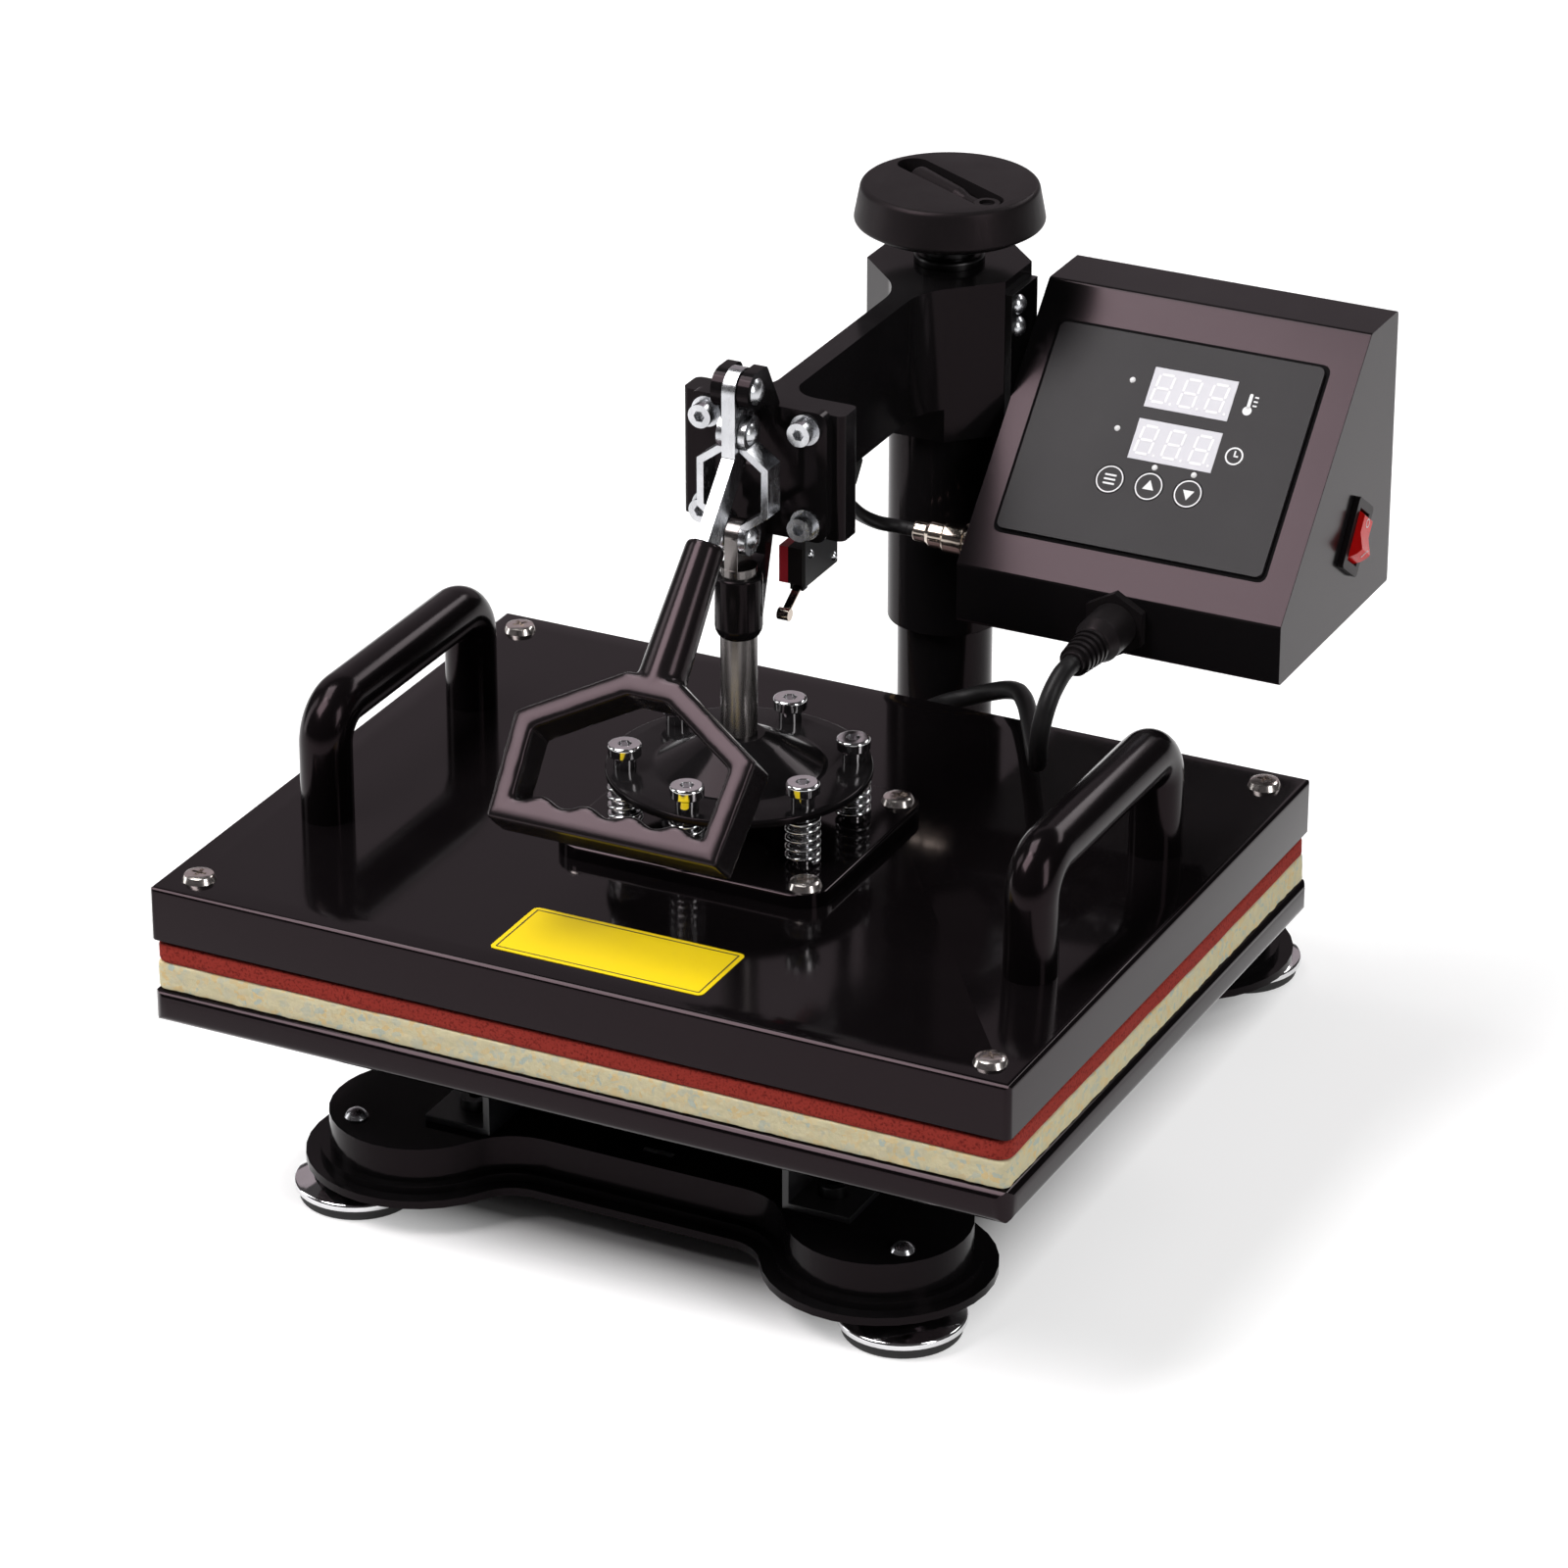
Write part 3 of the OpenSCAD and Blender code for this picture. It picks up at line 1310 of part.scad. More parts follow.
module plunger_rod() {
    shaft_top = guide_top + 4;
    tab_top = link_low_z + tab_w / 2;
    color("#b3b6ba") {
        translate([0, 0, disc_z - collar_h]) cylinder(d = collar_d, h = collar_h);
        translate([0, 0, disc_z - collar_h]) cylinder(d = rod_d, h = shaft_top - disc_z + collar_h);
        intersection() {
            translate([0, 0, shaft_top - 2]) cylinder(d = rod_d, h = tab_top);
            across(lever_t) {
                translate([-tab_w / 2, shaft_top - 2]) square([tab_w, link_low_z - shaft_top + 2]);
                translate([0, link_low_z]) circle(tab_w / 2);
            }
        }
    }
}

module at_bolts() {
    for (i = [0:bolt_count - 1]) rotate(-90 + 360 * i / bolt_count) translate([bolt_circle_r, 0, 0]) children();
}

module float_disc() {
    color("#121214") difference() {
        translate([0, 0, disc_z]) rotate_extrude() polygon(rounded(
            [[0, 0], [disc_d / 2, 0], [disc_d / 2, disc_t], [dome_d / 2, disc_t],
             [dome_d / 4, disc_t + dome_h * 0.75], [rod_d / 2 + 3, disc_t + dome_h], [0, disc_t + dome_h]],
            [0, 1, 1, 5, 16, 2, 0]));
        translate([0, 0, disc_z - over]) cylinder(d = rod_d, h = disc_t + dome_h + 2 * over);
        at_bolts() translate([0, 0, disc_z - over]) cylinder(d = shoulder_d + 2 * slip, h = disc_t + 2 * over);
    }
}

// Platen

thread_d = 6;
flange_screw_d = 6;
flange_screw_in = 10;
cover_screw_d = 5;

module at_flange_screws() {
    for (sx = sides, sy = sides)
        translate([sx * (flange_w / 2 - flange_screw_in), sy * (flange_depth / 2 - flange_screw_in), 0])
            children();
}

module at_cover_screws() {
    for (sx = sides, sy = sides)
        translate([sx * (cover_w / 2 - screw_in), sy * (cover_d / 2 - screw_in), 0]) children();
}

// A folded sheet tray, open below
module platen_cover() {
    color("#101012") difference() {
        translate([0, 0, cover_z]) slab(cover_w, cover_d, cover_h, 3, 2.5, 0);
        translate([0, 0, cover_z - over])
            linear_extrude(cover_h - cover_t + over)
                square([cover_w - 2 * cover_t, cover_d - 2 * cover_t], center = true);
        at_flange_screws() translate([0, 0, cover_z]) cylinder(d = flange_screw_d + 2 * ease, h = cover_h + over);
        at_cover_screws() translate([0, 0, cover_z]) cylinder(d = cover_screw_d + 2 * ease, h = cover_h + over);
        translate(lead_gland_at) rotate([90, 0, 0])
            cylinder(d = heater_lead_d + 3 + 2 * ease, h = 4 * cover_t, center = true);
    }
}

module heat_plate() {
    inset = 2 * (cover_t + plate_side);
    color("#8f9296") difference() {
        translate([0, 0, plate_z]) slab(cover_w - inset, cover_d - inset, plate_h, 8, 1, 1);
        at_flange_screws() translate([0, 0, plate_z + plate_h / 2])
            cylinder(d = flange_screw_d + 2 * ease, h = plate_h);
        at_cover_screws() translate([0, 0, plate_z + plate_h / 2])
            cylinder(d = cover_screw_d + 2 * ease, h = plate_h);
    }
}

module insulation() {
    inset = 2 * (cover_t + plate_side);
    bottom = plate_z + plate_h;
    color("#d9d2bd") difference() {
        translate([0, 0, bottom]) linear_extrude(cover_top - cover_t - bottom)
            polygon(rounded(oblong(cover_w - inset, cover_d - inset), 8));
        at_flange_screws() translate([0, 0, bottom - over]) cylinder(d = flange_screw_d + 2 * ease, h = cover_h);
        at_cover_screws() translate([0, 0, bottom - over]) cylinder(d = cover_screw_d + 2 * ease, h = cover_h);
    }
}

module flange_plate() {
    color("#121214") difference() {
        translate([0, 0, cover_top]) slab(flange_w, flange_depth, flange_t, 14, 1.5, 0);
        at_flange_screws() translate([0, 0, cover_top - over])
            cylinder(d = flange_screw_d + 2 * ease, h = flange_t + 2 * over);
        at_bolts() translate([0, 0, cover_top]) cylinder(d = thread_d + 2 * ease, h = flange_t + over);
    }
}

module platen_screws() {
    head_d = 14;
    head_h = 4;
    into_plate = plate_h / 2 - 1;
    depth = cover_top - plate_z - plate_h + into_plate;
    color("#c8cbcf") {
        at_flange_screws() translate([0, 0, flange_top]) domed_screw(head_d, head_h, flange_screw_d, flange_t + depth);
        at_cover_screws() translate([0, 0, cover_top]) domed_screw(head_d, head_h, cover_screw_d, depth);
    }
}

// Two bent tubes standing on the cover
module side_handles() {
    straight = handle_l - 2 * handle_bend;
    color("#131315") for (side = sides)
        translate([side * handle_spacing / 2, handle_back, cover_top]) {
            for (end = [0, 1]) mirror([0, end, 0]) {
                translate([0, handle_l / 2, 0]) cylinder(d = handle_d, h = handle_h - handle_bend + 0.01);
                translate([0, handle_l / 2 - handle_bend, handle_h - handle_bend]) rotate([90, 0, 90])
                    rotate_extrude(angle = 90) translate([handle_bend, 0]) circle(d = handle_d);
            }
            translate([0, 0, handle_h]) rotate([90, 0, 0])
                cylinder(d = handle_d, h = straight + 0.02, center = true);
        }
}

module shoulder_bolts() {
    color("#cfd2d6") at_bolts() {
        translate([0, 0, cover_top]) cylinder(d = thread_d, h = flange_t + over);
        translate([0, 0, flange_top]) cylinder(d = shoulder_d, h = bolt_seat - flange_top + over);
        translate([0, 0, bolt_seat]) difference() {
            rotate_extrude() polygon(rounded(
                [[0, 0], [bolt_head_d / 2, 0], [bolt_head_d / 2, bolt_head_h], [0, bolt_head_h]], [0, 0.6, 1.2, 0]));
            translate([0, 0, bolt_head_h / 2]) cylinder(d = 6, h = bolt_head_h, $fn = 6);
        }
    }
}

spring_seat = 0.1;
rings_per_curl = 8;

// Height of the wire's centre after t curls: close curls at both ends, even ones between
function spring_rise(t) =
    let (height = spring_l - spring_wire - 2 * spring_seat,
         open_pitch = (height - 2 * end_pitch) / (spring_curls - 2))
    t < 1 ? end_pitch * t :
    t > spring_curls - 1 ? height - end_pitch * (spring_curls - t) :
    end_pitch + open_pitch * (t - 1);

spring_path = [for (i = [0:spring_curls * rings_per_curl])
    let (t = i / rings_per_curl, r = (spring_d - spring_wire) / 2)
    [r * cos(360 * t), r * sin(360 * t), spring_rise(t)]];

echo(str("least gap of a spring to itself ", min([
    for (i = [0:len(spring_path) - 1], j = [i + rings_per_curl - 2:len(spring_path) - 1])
        norm(spring_path[i] - spring_path[j])]) - spring_wire));

module springs() {
    color("#c3c6ca") at_bolts() translate([0, 0, flange_top + spring_wire / 2 + spring_seat])
        tube(spring_path, spring_wire / 2, 6, [1, 0, 0]);
}

// Moves the whole press so that the origin is the middle of its footprint
module placed() {
    translate([0, platen_y, 0]) children();
}

placed() base_pressing();
placed() foot_cups();
placed() foot_pads();
placed() foot_bolts();
placed() post();
placed() base_bolts();
placed() board_supports();
placed() lower_board();
placed() foam_mat();
placed() silicone_mat();
placed() thrust_washer();
placed() pressure_screw();
placed() height_knob();
placed() crank_pin();
placed() crank_grip();
placed() swing_arm();
placed() sleeve();
placed() sleeve_bushes();
placed() screw_nut();
placed() toggle_frame();
placed() toggle_screws();
placed() lever_pin();
placed() switch_bracket();
placed() switch_body();
placed() switch_lever();
placed() box_shell();
placed() box_back();
placed() box_bracket();
placed() box_screws();
placed() control_board();
placed() display_panel();
placed() display_windows();
placed() indicator_lamps();
placed() set_key();
placed() up_key();
placed() down_key();
placed() rocker_bezel();
placed() rocker();
placed() switch_plug();
placed() heater_plug();
placed() mains_gland();
placed() switch_lead();
placed() lead_grommet();
placed() lever_bar();
placed() lever_handle();
placed() plunger_rod();
placed() float_disc();
placed() toggle_links();
placed() link_pins();
placed() platen_cover();
placed() heat_plate();
placed() insulation();
placed() flange_plate();
placed() platen_screws();
placed() side_handles();
placed() shoulder_bolts();
placed() springs();
placed() lead_gland();
placed() heater_lead();
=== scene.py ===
# %% [markdown]
# # A swing-away heat press
# A heated platen hangs from an arm that swings on a post behind a padded lower board. The rigid
# pieces come in as exact solids in one frame, in metres. This lesson gives them their finishes and
# adds what a solid can't show: wire, leads, sponge, printed marks and the studio around them.

# %% Load the frame
import json
import math

import bmesh
import bpy
from mathutils import Matrix, Vector, noise
from mathutils.bvhtree import BVHTree

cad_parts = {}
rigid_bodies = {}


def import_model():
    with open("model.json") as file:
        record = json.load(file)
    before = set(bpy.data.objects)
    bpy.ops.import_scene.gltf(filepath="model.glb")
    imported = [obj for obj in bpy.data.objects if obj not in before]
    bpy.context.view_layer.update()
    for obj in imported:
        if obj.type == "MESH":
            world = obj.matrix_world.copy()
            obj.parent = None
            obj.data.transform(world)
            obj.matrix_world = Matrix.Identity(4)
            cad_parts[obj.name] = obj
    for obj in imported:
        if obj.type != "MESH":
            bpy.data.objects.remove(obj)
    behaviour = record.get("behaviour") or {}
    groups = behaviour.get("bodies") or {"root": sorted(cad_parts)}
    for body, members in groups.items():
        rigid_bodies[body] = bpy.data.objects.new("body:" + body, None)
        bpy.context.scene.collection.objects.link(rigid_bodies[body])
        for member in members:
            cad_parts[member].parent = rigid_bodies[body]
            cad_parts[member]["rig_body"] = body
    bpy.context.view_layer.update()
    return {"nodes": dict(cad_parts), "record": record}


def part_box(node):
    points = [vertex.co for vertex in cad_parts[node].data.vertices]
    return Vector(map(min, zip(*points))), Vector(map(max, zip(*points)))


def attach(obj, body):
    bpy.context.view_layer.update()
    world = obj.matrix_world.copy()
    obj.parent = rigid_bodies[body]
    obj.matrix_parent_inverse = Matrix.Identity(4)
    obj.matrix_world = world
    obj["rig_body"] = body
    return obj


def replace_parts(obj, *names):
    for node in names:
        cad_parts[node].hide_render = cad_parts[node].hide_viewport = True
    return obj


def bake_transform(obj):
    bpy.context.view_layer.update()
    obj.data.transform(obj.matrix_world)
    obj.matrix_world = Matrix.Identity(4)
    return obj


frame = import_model()
scene = bpy.context.scene
scene.view_settings.view_transform = "Standard"
MM = 0.001


def placed(name, data):
    """A new object in the scene."""
    obj = bpy.data.objects.new(name, data)
    scene.collection.objects.link(obj)
    return obj


# %% [markdown]
# ## The camera
# The press was photographed from its front right corner, a little from above, with a long lens.
# The camera looks along that direction at a point near the middle of the platen's cover.

# %% Camera
AZIMUTH = math.radians(26.4)
ELEVATION = math.radians(25.8)
CAMERA_DISTANCE = 2.6659
AIM_RIGHT = 0.01814
AIM_UP = 0.01938
LENS_MM = 150.14
SENSOR_MM = 36

cover_low, cover_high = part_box("platen_cover")
platen = Vector(((cover_low.x + cover_high.x) / 2, (cover_low.y + cover_high.y) / 2, 0))
cover_top = cover_high.z
back = Vector((math.sin(AZIMUTH) * math.cos(ELEVATION),
               -math.cos(AZIMUTH) * math.cos(ELEVATION), math.sin(ELEVATION)))
right = Vector((math.cos(AZIMUTH), math.sin(AZIMUTH), 0))
up = back.cross(right)
aim = platen + Vector((0, 0, cover_top)) + AIM_RIGHT * right + AIM_UP * up
camera = placed("camera", bpy.data.cameras.new("camera"))
camera.data.lens = LENS_MM
camera.data.sensor_width = SENSOR_MM
camera.location = aim + CAMERA_DISTANCE * back
camera.rotation_mode = "QUATERNION"
camera.rotation_quaternion = (-back).to_track_quat("-Z", "Y")
scene.camera = camera
print("camera at", tuple(round(v, 3) for v in camera.location))

# %% [markdown]
# ## Shared effects
# A finish is a colour with something happening over it: peel in enamel, grain in moulded plastic,
# strokes in metal. Each such effect is one shader group with named values, so that every
# material that needs it can place it with values of its own.

# %% Helpers for node trees
FLOAT = "NodeSocketFloat"
COLOUR = "NodeSocketColor"
VECTOR = "NodeSocketVector"
# Places of the colour sockets on a Mix node, which has one set of sockets for each kind of value.
MIX_FIRST = 6
MIX_SECOND = 7
MIX_RESULT = 2


def put(tree, kind, settings=None, **values):
    """A new node; settings are its own switches and values the defaults of its inputs."""
    node = tree.nodes.new("ShaderNode" + kind)
    for name, value in (settings or {}).items():
        setattr(node, name, value)
    for name, value in values.items():
        node.inputs[name.replace("_", " ")].default_value = value
    return node


def new_group(name, inputs, outputs):
    """An empty shader group with its sockets, and the nodes that stand for them."""
    tree = bpy.data.node_groups.new(name, "ShaderNodeTree")
    for label, kind, value in inputs:
        tree.interface.new_socket(label, in_out="INPUT", socket_type=kind).default_value = value
    for label, kind in outputs:
        tree.interface.new_socket(label, in_out="OUTPUT", socket_type=kind)
    return tree, tree.nodes.new("NodeGroupInput"), tree.nodes.new("NodeGroupOutput")


def wire(tree, *joins):
    """Links nodes; each join is a node, its output, another node and its input."""
    for giver, output, taker, entry in joins:
        tree.links.new(giver.outputs[output], taker.inputs[entry])


def ranged(tree, value, low, high, out_low, out_high):
    """Maps a value from one range to another; each bound is a number or a socket."""
    node = put(tree, "MapRange")
    tree.links.new(value, node.inputs["Value"])
    for label, bound in (("From Min", low), ("From Max", high), ("To Min", out_low), ("To Max", out_high)):
        if isinstance(bound, (int, float)):
            node.inputs[label].default_value = bound
        else:
            tree.links.new(bound, node.inputs[label])
    return node.outputs["Result"]


def mixed(tree, factor, first, second):
    """Mixes two plain colours by a factor from a socket."""
    node = put(tree, "Mix", {"data_type": "RGBA"})
    tree.links.new(factor, node.inputs[0])
    node.inputs[MIX_FIRST].default_value = (*first, 1)
    node.inputs[MIX_SECOND].default_value = (*second, 1)
    return node.outputs[MIX_RESULT]


def multiplied(tree, first, second):
    """The product of two sockets."""
    node = put(tree, "Math", {"operation": "MULTIPLY"})
    tree.links.new(first, node.inputs[0])
    tree.links.new(second, node.inputs[1])
    return node.outputs[0]


# %% Surface grain: fine bumps and a roughness that drifts over the piece
surface_grain, source, sink = new_group(
    "surface_grain",
    [("Scale", FLOAT, 600), ("Drift", FLOAT, 9), ("Low", FLOAT, 0.1), ("High", FLOAT, 0.2)],
    [("Height", FLOAT), ("Roughness", FLOAT)])
coords = put(surface_grain, "TexCoord")
fine = put(surface_grain, "TexNoise", Detail=3, Roughness=0.55)
wide = put(surface_grain, "TexNoise", Detail=5, Roughness=0.6, Distortion=0.4)
wire(surface_grain, (coords, "Object", fine, "Vector"), (source, "Scale", fine, "Scale"),
     (coords, "Object", wide, "Vector"), (source, "Drift", wide, "Scale"), (fine, "Fac", sink, "Height"))
surface_grain.links.new(
    ranged(surface_grain, wide.outputs["Fac"], 0.35, 0.68, source.outputs["Low"], source.outputs["High"]),
    sink.inputs["Roughness"])
print(surface_grain.name, "nodes:", len(surface_grain.nodes))

# %% Metal strokes: noise drawn out along one direction
metal_strokes, source, sink = new_group(
    "metal_strokes",
    [("Scale", FLOAT, 300), ("Stretch", VECTOR, (1, 1, 0.04)), ("Low", FLOAT, 0.15), ("High", FLOAT, 0.35)],
    [("Height", FLOAT), ("Roughness", FLOAT), ("Tone", FLOAT)])
coords = put(metal_strokes, "TexCoord")
drawn = put(metal_strokes, "Mapping")
strokes = put(metal_strokes, "TexNoise", Detail=4, Roughness=0.65)
blotch = put(metal_strokes, "TexNoise", Scale=55, Detail=4)
wire(metal_strokes, (coords, "Object", drawn, "Vector"), (source, "Stretch", drawn, "Scale"),
     (drawn, "Vector", strokes, "Vector"), (source, "Scale", strokes, "Scale"),
     (coords, "Object", blotch, "Vector"), (strokes, "Fac", sink, "Height"))
metal_strokes.links.new(
    ranged(metal_strokes, strokes.outputs["Fac"], 0.3, 0.7, source.outputs["Low"], source.outputs["High"]),
    sink.inputs["Roughness"])
metal_strokes.links.new(
    ranged(metal_strokes, blotch.outputs["Fac"], 0.35, 0.7, 0.0, 1.0),
    sink.inputs["Tone"])
print(metal_strokes.name, "nodes:", len(metal_strokes.nodes))

# %% Dust film: settles on faces that look up, in patches
dust_film, source, sink = new_group("dust_film", [("Amount", FLOAT, 0.2)], [("Mask", FLOAT)])
coords = put(dust_film, "TexCoord")
patches = put(dust_film, "TexNoise", Scale=34, Detail=6, Roughness=0.7)
normal = put(dust_film, "NewGeometry")
split = put(dust_film, "SeparateXYZ")
wire(dust_film, (coords, "Object", patches, "Vector"), (normal, "Normal", split, "Vector"))
facing_up = ranged(dust_film, split.outputs["Z"], 0.2, 1.0, 0.0, 1.0)
patchy = ranged(dust_film, patches.outputs["Fac"], 0.42, 0.75, 0.0, 1.0)
dust_film.links.new(
    multiplied(dust_film, multiplied(dust_film, facing_up, patchy), source.outputs["Amount"]),
    sink.inputs["Mask"])
print(dust_film.name, "nodes:", len(dust_film.nodes))

# %% Chips: crumbs of different foams pressed into one sheet
WARP_SHARE = 0.006
pressed_chips, source, sink = new_group("pressed_chips", [("Scale", FLOAT, 160)], [("Color", COLOUR)])
coords = put(pressed_chips, "TexCoord")
warp = put(pressed_chips, "TexNoise", Scale=240, Detail=3)
shifted = put(pressed_chips, "Mix", {"data_type": "RGBA", "blend_type": "ADD"})
shifted.inputs[0].default_value = WARP_SHARE
crumbs = put(pressed_chips, "TexVoronoi")
tones = put(pressed_chips, "SeparateColor")
ramp = put(pressed_chips, "ValToRGB")
chip_tones = ((0.0, (0.61, 0.56, 0.36)), (0.5, (0.66, 0.60, 0.39)), (0.68, (0.68, 0.53, 0.27)),
              (0.78, (0.63, 0.57, 0.38)), (0.94, (0.53, 0.54, 0.42)), (1.0, (0.45, 0.52, 0.46)))
while len(ramp.color_ramp.elements) < len(chip_tones):
    ramp.color_ramp.elements.new(0.5)
for stop, (place, colour) in zip(ramp.color_ramp.elements, chip_tones):
    stop.position = place
    stop.color = (*colour, 1)
wire(pressed_chips, (coords, "Object", warp, "Vector"), (coords, "Object", shifted, MIX_FIRST),
     (warp, "Color", shifted, MIX_SECOND), (shifted, MIX_RESULT, crumbs, "Vector"),
     (source, "Scale", crumbs, "Scale"), (crumbs, "Color", tones, "Color"),
     (tones, "Red", ramp, "Fac"), (ramp, "Color", sink, "Color"))
print("shader groups:", [group.name for group in bpy.data.node_groups])

# %% [markdown]
# ## Finishes
# Most of the press is black enamel, baked on sheet steel and castings, glossy with a faint peel.
# Against it stand zinc plate, a ground steel rod, moulded plastic, rubber and the sponge of the bed.
# Values that are the same all over a finish sit on the shader; what drifts comes from a group.
# The enamel's black leans to brown, so its reflections are tinted a little.

# %% Material helpers
DUST_GREY = 0.25
DUST_KEEPS = 0.6
PEEL_DEPTH = 0.2 * MM
STROKE_DEPTH = 0.1 * MM


def principled(name, colour, **values):
    """A material with a Principled shader whose constant values are set on its own sockets."""
    material = bpy.data.materials.new(name)
    material.use_nodes = True
    shader = material.node_tree.nodes["Principled BSDF"]
    shader.inputs["Base Color"].default_value = (*colour, 1)
    for label, value in values.items():
        shader.inputs[label.replace("_", " ")].default_value = value
    return material, material.node_tree, shader


def grouped(tree, group, **values):
    """Places a shader group in a material, with its own values."""
    node = tree.nodes.new("ShaderNodeGroup")
    node.node_tree = group
    for label, value in values.items():
        node.inputs[label].default_value = value
    return node


def bumped(tree, shader, height, strength, depth):
    """Drives the shader's normal from a height; depth is in metres."""
    node = put(tree, "Bump", Strength=strength, Distance=depth)
    tree.links.new(height, node.inputs["Height"])
    tree.links.new(node.outputs["Normal"], shader.inputs["Normal"])


def coated(name, colour, low, high, scale, peel, dust, **values):
    """Paint, plastic or rubber: a skin with grain, drifting gloss and a trace of dust.

    The roughness drifts from low to high, scale is the grain's and peel the strength of its bumps.
    """
    material, tree, shader = principled(name, colour, **values)
    grain = grouped(tree, surface_grain, Scale=scale, Low=low, High=high)
    film = grouped(tree, dust_film, Amount=dust)
    pale = tuple(DUST_GREY + DUST_KEEPS * part for part in colour)
    tree.links.new(mixed(tree, film.outputs["Mask"], colour, pale), shader.inputs["Base Color"])
    wire(tree, (grain, "Roughness", shader, "Roughness"))
    bumped(tree, shader, grain.outputs["Height"], peel, PEEL_DEPTH)
    return material


def plated(name, colour, dull, low, high, scale, stretch, strength=0.08):
    """Metal: strokes along one direction and a colour that is duller in blotches."""
    material, tree, shader = principled(name, colour, Metallic=1.0)
    drawn = grouped(tree, metal_strokes, Scale=scale, Stretch=stretch, Low=low, High=high)
    tree.links.new(mixed(tree, drawn.outputs["Tone"], colour, dull), shader.inputs["Base Color"])
    wire(tree, (drawn, "Roughness", shader, "Roughness"))
    bumped(tree, shader, drawn.outputs["Height"], strength, STROKE_DEPTH)
    return material


# %% Paints, plastics and rubbers
ENAMEL_BLACK = (0.0055, 0.005, 0.0054)
GLOSS_BLACK = (0.0028, 0.0022, 0.0025)
WARM_GLOSS = (1, 0.74, 0.82, 1)
gloss_enamel = coated("gloss_enamel", GLOSS_BLACK, 0.07, 0.12, 420, 0.02, 0.002,
                      Specular_IOR_Level=0.18, Specular_Tint=WARM_GLOSS)
box_enamel = coated("box_enamel", ENAMEL_BLACK, 0.17, 0.23, 420, 0.03, 0.01,
                    Specular_IOR_Level=0.165, Specular_Tint=WARM_GLOSS)
cast_enamel = coated("cast_enamel", ENAMEL_BLACK, 0.1, 0.17, 260, 0.06, 0.012,
                     Specular_IOR_Level=0.08, Specular_Tint=WARM_GLOSS)
dipped_enamel = coated("dipped_enamel", GLOSS_BLACK, 0.14, 0.2, 360, 0.03, 0.004,
                       Specular_IOR_Level=0.13, Specular_Tint=WARM_GLOSS)
satin_powder = coated("satin_powder", (0.012, 0.012, 0.013), 0.34, 0.45, 900, 0.15, 0.02)
moulded_plastic = coated("moulded_plastic", (0.008, 0.007, 0.0074), 0.34, 0.44, 1500, 0.12, 0.015,
                         Specular_IOR_Level=0.1, Specular_Tint=WARM_GLOSS)
grip_plastic = coated("grip_plastic", (0.0075, 0.0064, 0.0068), 0.17, 0.23, 1100, 0.05, 0.008,
                      Specular_IOR_Level=0.2, Specular_Tint=WARM_GLOSS)
cable_sheath = coated("cable_sheath", (0.009, 0.0085, 0.009), 0.4, 0.5, 1300, 0.12, 0.015,
                      Specular_IOR_Level=0.16)
matte_rubber = coated("matte_rubber", (0.014, 0.014, 0.014), 0.6, 0.75, 900, 0.2, 0.02)
# Painted shade: this near-black sheet round the overlay stands for the shadow in the gap round it.
gap_shade_black = coated("gap_shade_black", (0.004, 0.0036, 0.004), 0.6, 0.7, 900, 0.1, 0.0, Specular_IOR_Level=0.03)
overlay_film = coated("overlay_film", (0.016, 0.0145, 0.016), 0.3, 0.36, 2200, 0.05, 0.01,
                      Specular_IOR_Level=0.09)
red_lens = coated("red_lens", (0.66, 0.008, 0.008), 0.14, 0.2, 500, 0.02, 0.0, Specular_IOR_Level=0.12)
red_housing = coated("red_housing", (0.42, 0.016, 0.028), 0.3, 0.4, 900, 0.05, 0.0)
window_lens = coated("window_lens", (0.41, 0.41, 0.445), 0.3, 0.38, 1600, 0.03, 0.0)
lamp_lens = coated("lamp_lens", (0.7, 0.7, 0.7), 0.12, 0.2, 800, 0.02, 0.0)
white_print = coated("white_print", (0.66, 0.66, 0.67), 0.4, 0.5, 2000, 0.02, 0.0)
dark_print = coated("dark_print", (0.012, 0.012, 0.012), 0.35, 0.45, 2000, 0.02, 0.0)
yellow_vinyl = coated("yellow_vinyl", (0.8, 0.59, 0.003), 0.34, 0.42, 1200, 0.03, 0.0,
                      Specular_IOR_Level=0.25)
circuit_board = coated("circuit_board", (0.02, 0.11, 0.045), 0.35, 0.5, 700, 0.08, 0.0)
wool_board = coated("wool_board", (0.55, 0.5, 0.38), 0.85, 0.95, 500, 0.6, 0.0)
print("finishes with the paints:", len(bpy.data.materials))

# %% Metals
zinc_plate = plated("zinc_plate", (0.60, 0.61, 0.63), (0.45, 0.46, 0.48), 0.18, 0.32, 260, (1, 1, 0.3))
ground_steel = plated("ground_steel", (0.20, 0.185, 0.18), (0.16, 0.148, 0.144), 0.22, 0.28, 240,
                      (1, 1, 0.05), 0.004)
bright_chrome = plated("bright_chrome", (0.78, 0.78, 0.79), (0.66, 0.66, 0.67), 0.06, 0.13, 320,
                       (1, 1, 0.5), 0.03)
satin_nickel = plated("satin_nickel", (0.74, 0.69, 0.66), (0.62, 0.57, 0.54), 0.17, 0.27, 320,
                      (1, 1, 0.5), 0.03)
black_oxide = plated("black_oxide", (0.035, 0.034, 0.035), (0.02, 0.02, 0.021), 0.26, 0.4, 300, (1, 1, 0.4))
nickel_plate = plated("nickel_plate", (0.62, 0.55, 0.48), (0.45, 0.38, 0.32), 0.1, 0.2, 300, (0.3, 1, 1))
cast_aluminium = plated("cast_aluminium", (0.52, 0.52, 0.53), (0.4, 0.4, 0.41), 0.35, 0.5, 200,
                        (1, 1, 1), 0.2)
sintered_bronze = plated("sintered_bronze", (0.5, 0.33, 0.13), (0.36, 0.23, 0.09), 0.35, 0.5, 500,
                         (1, 1, 1), 0.2)
print("finishes with the metals:", len(bpy.data.materials))

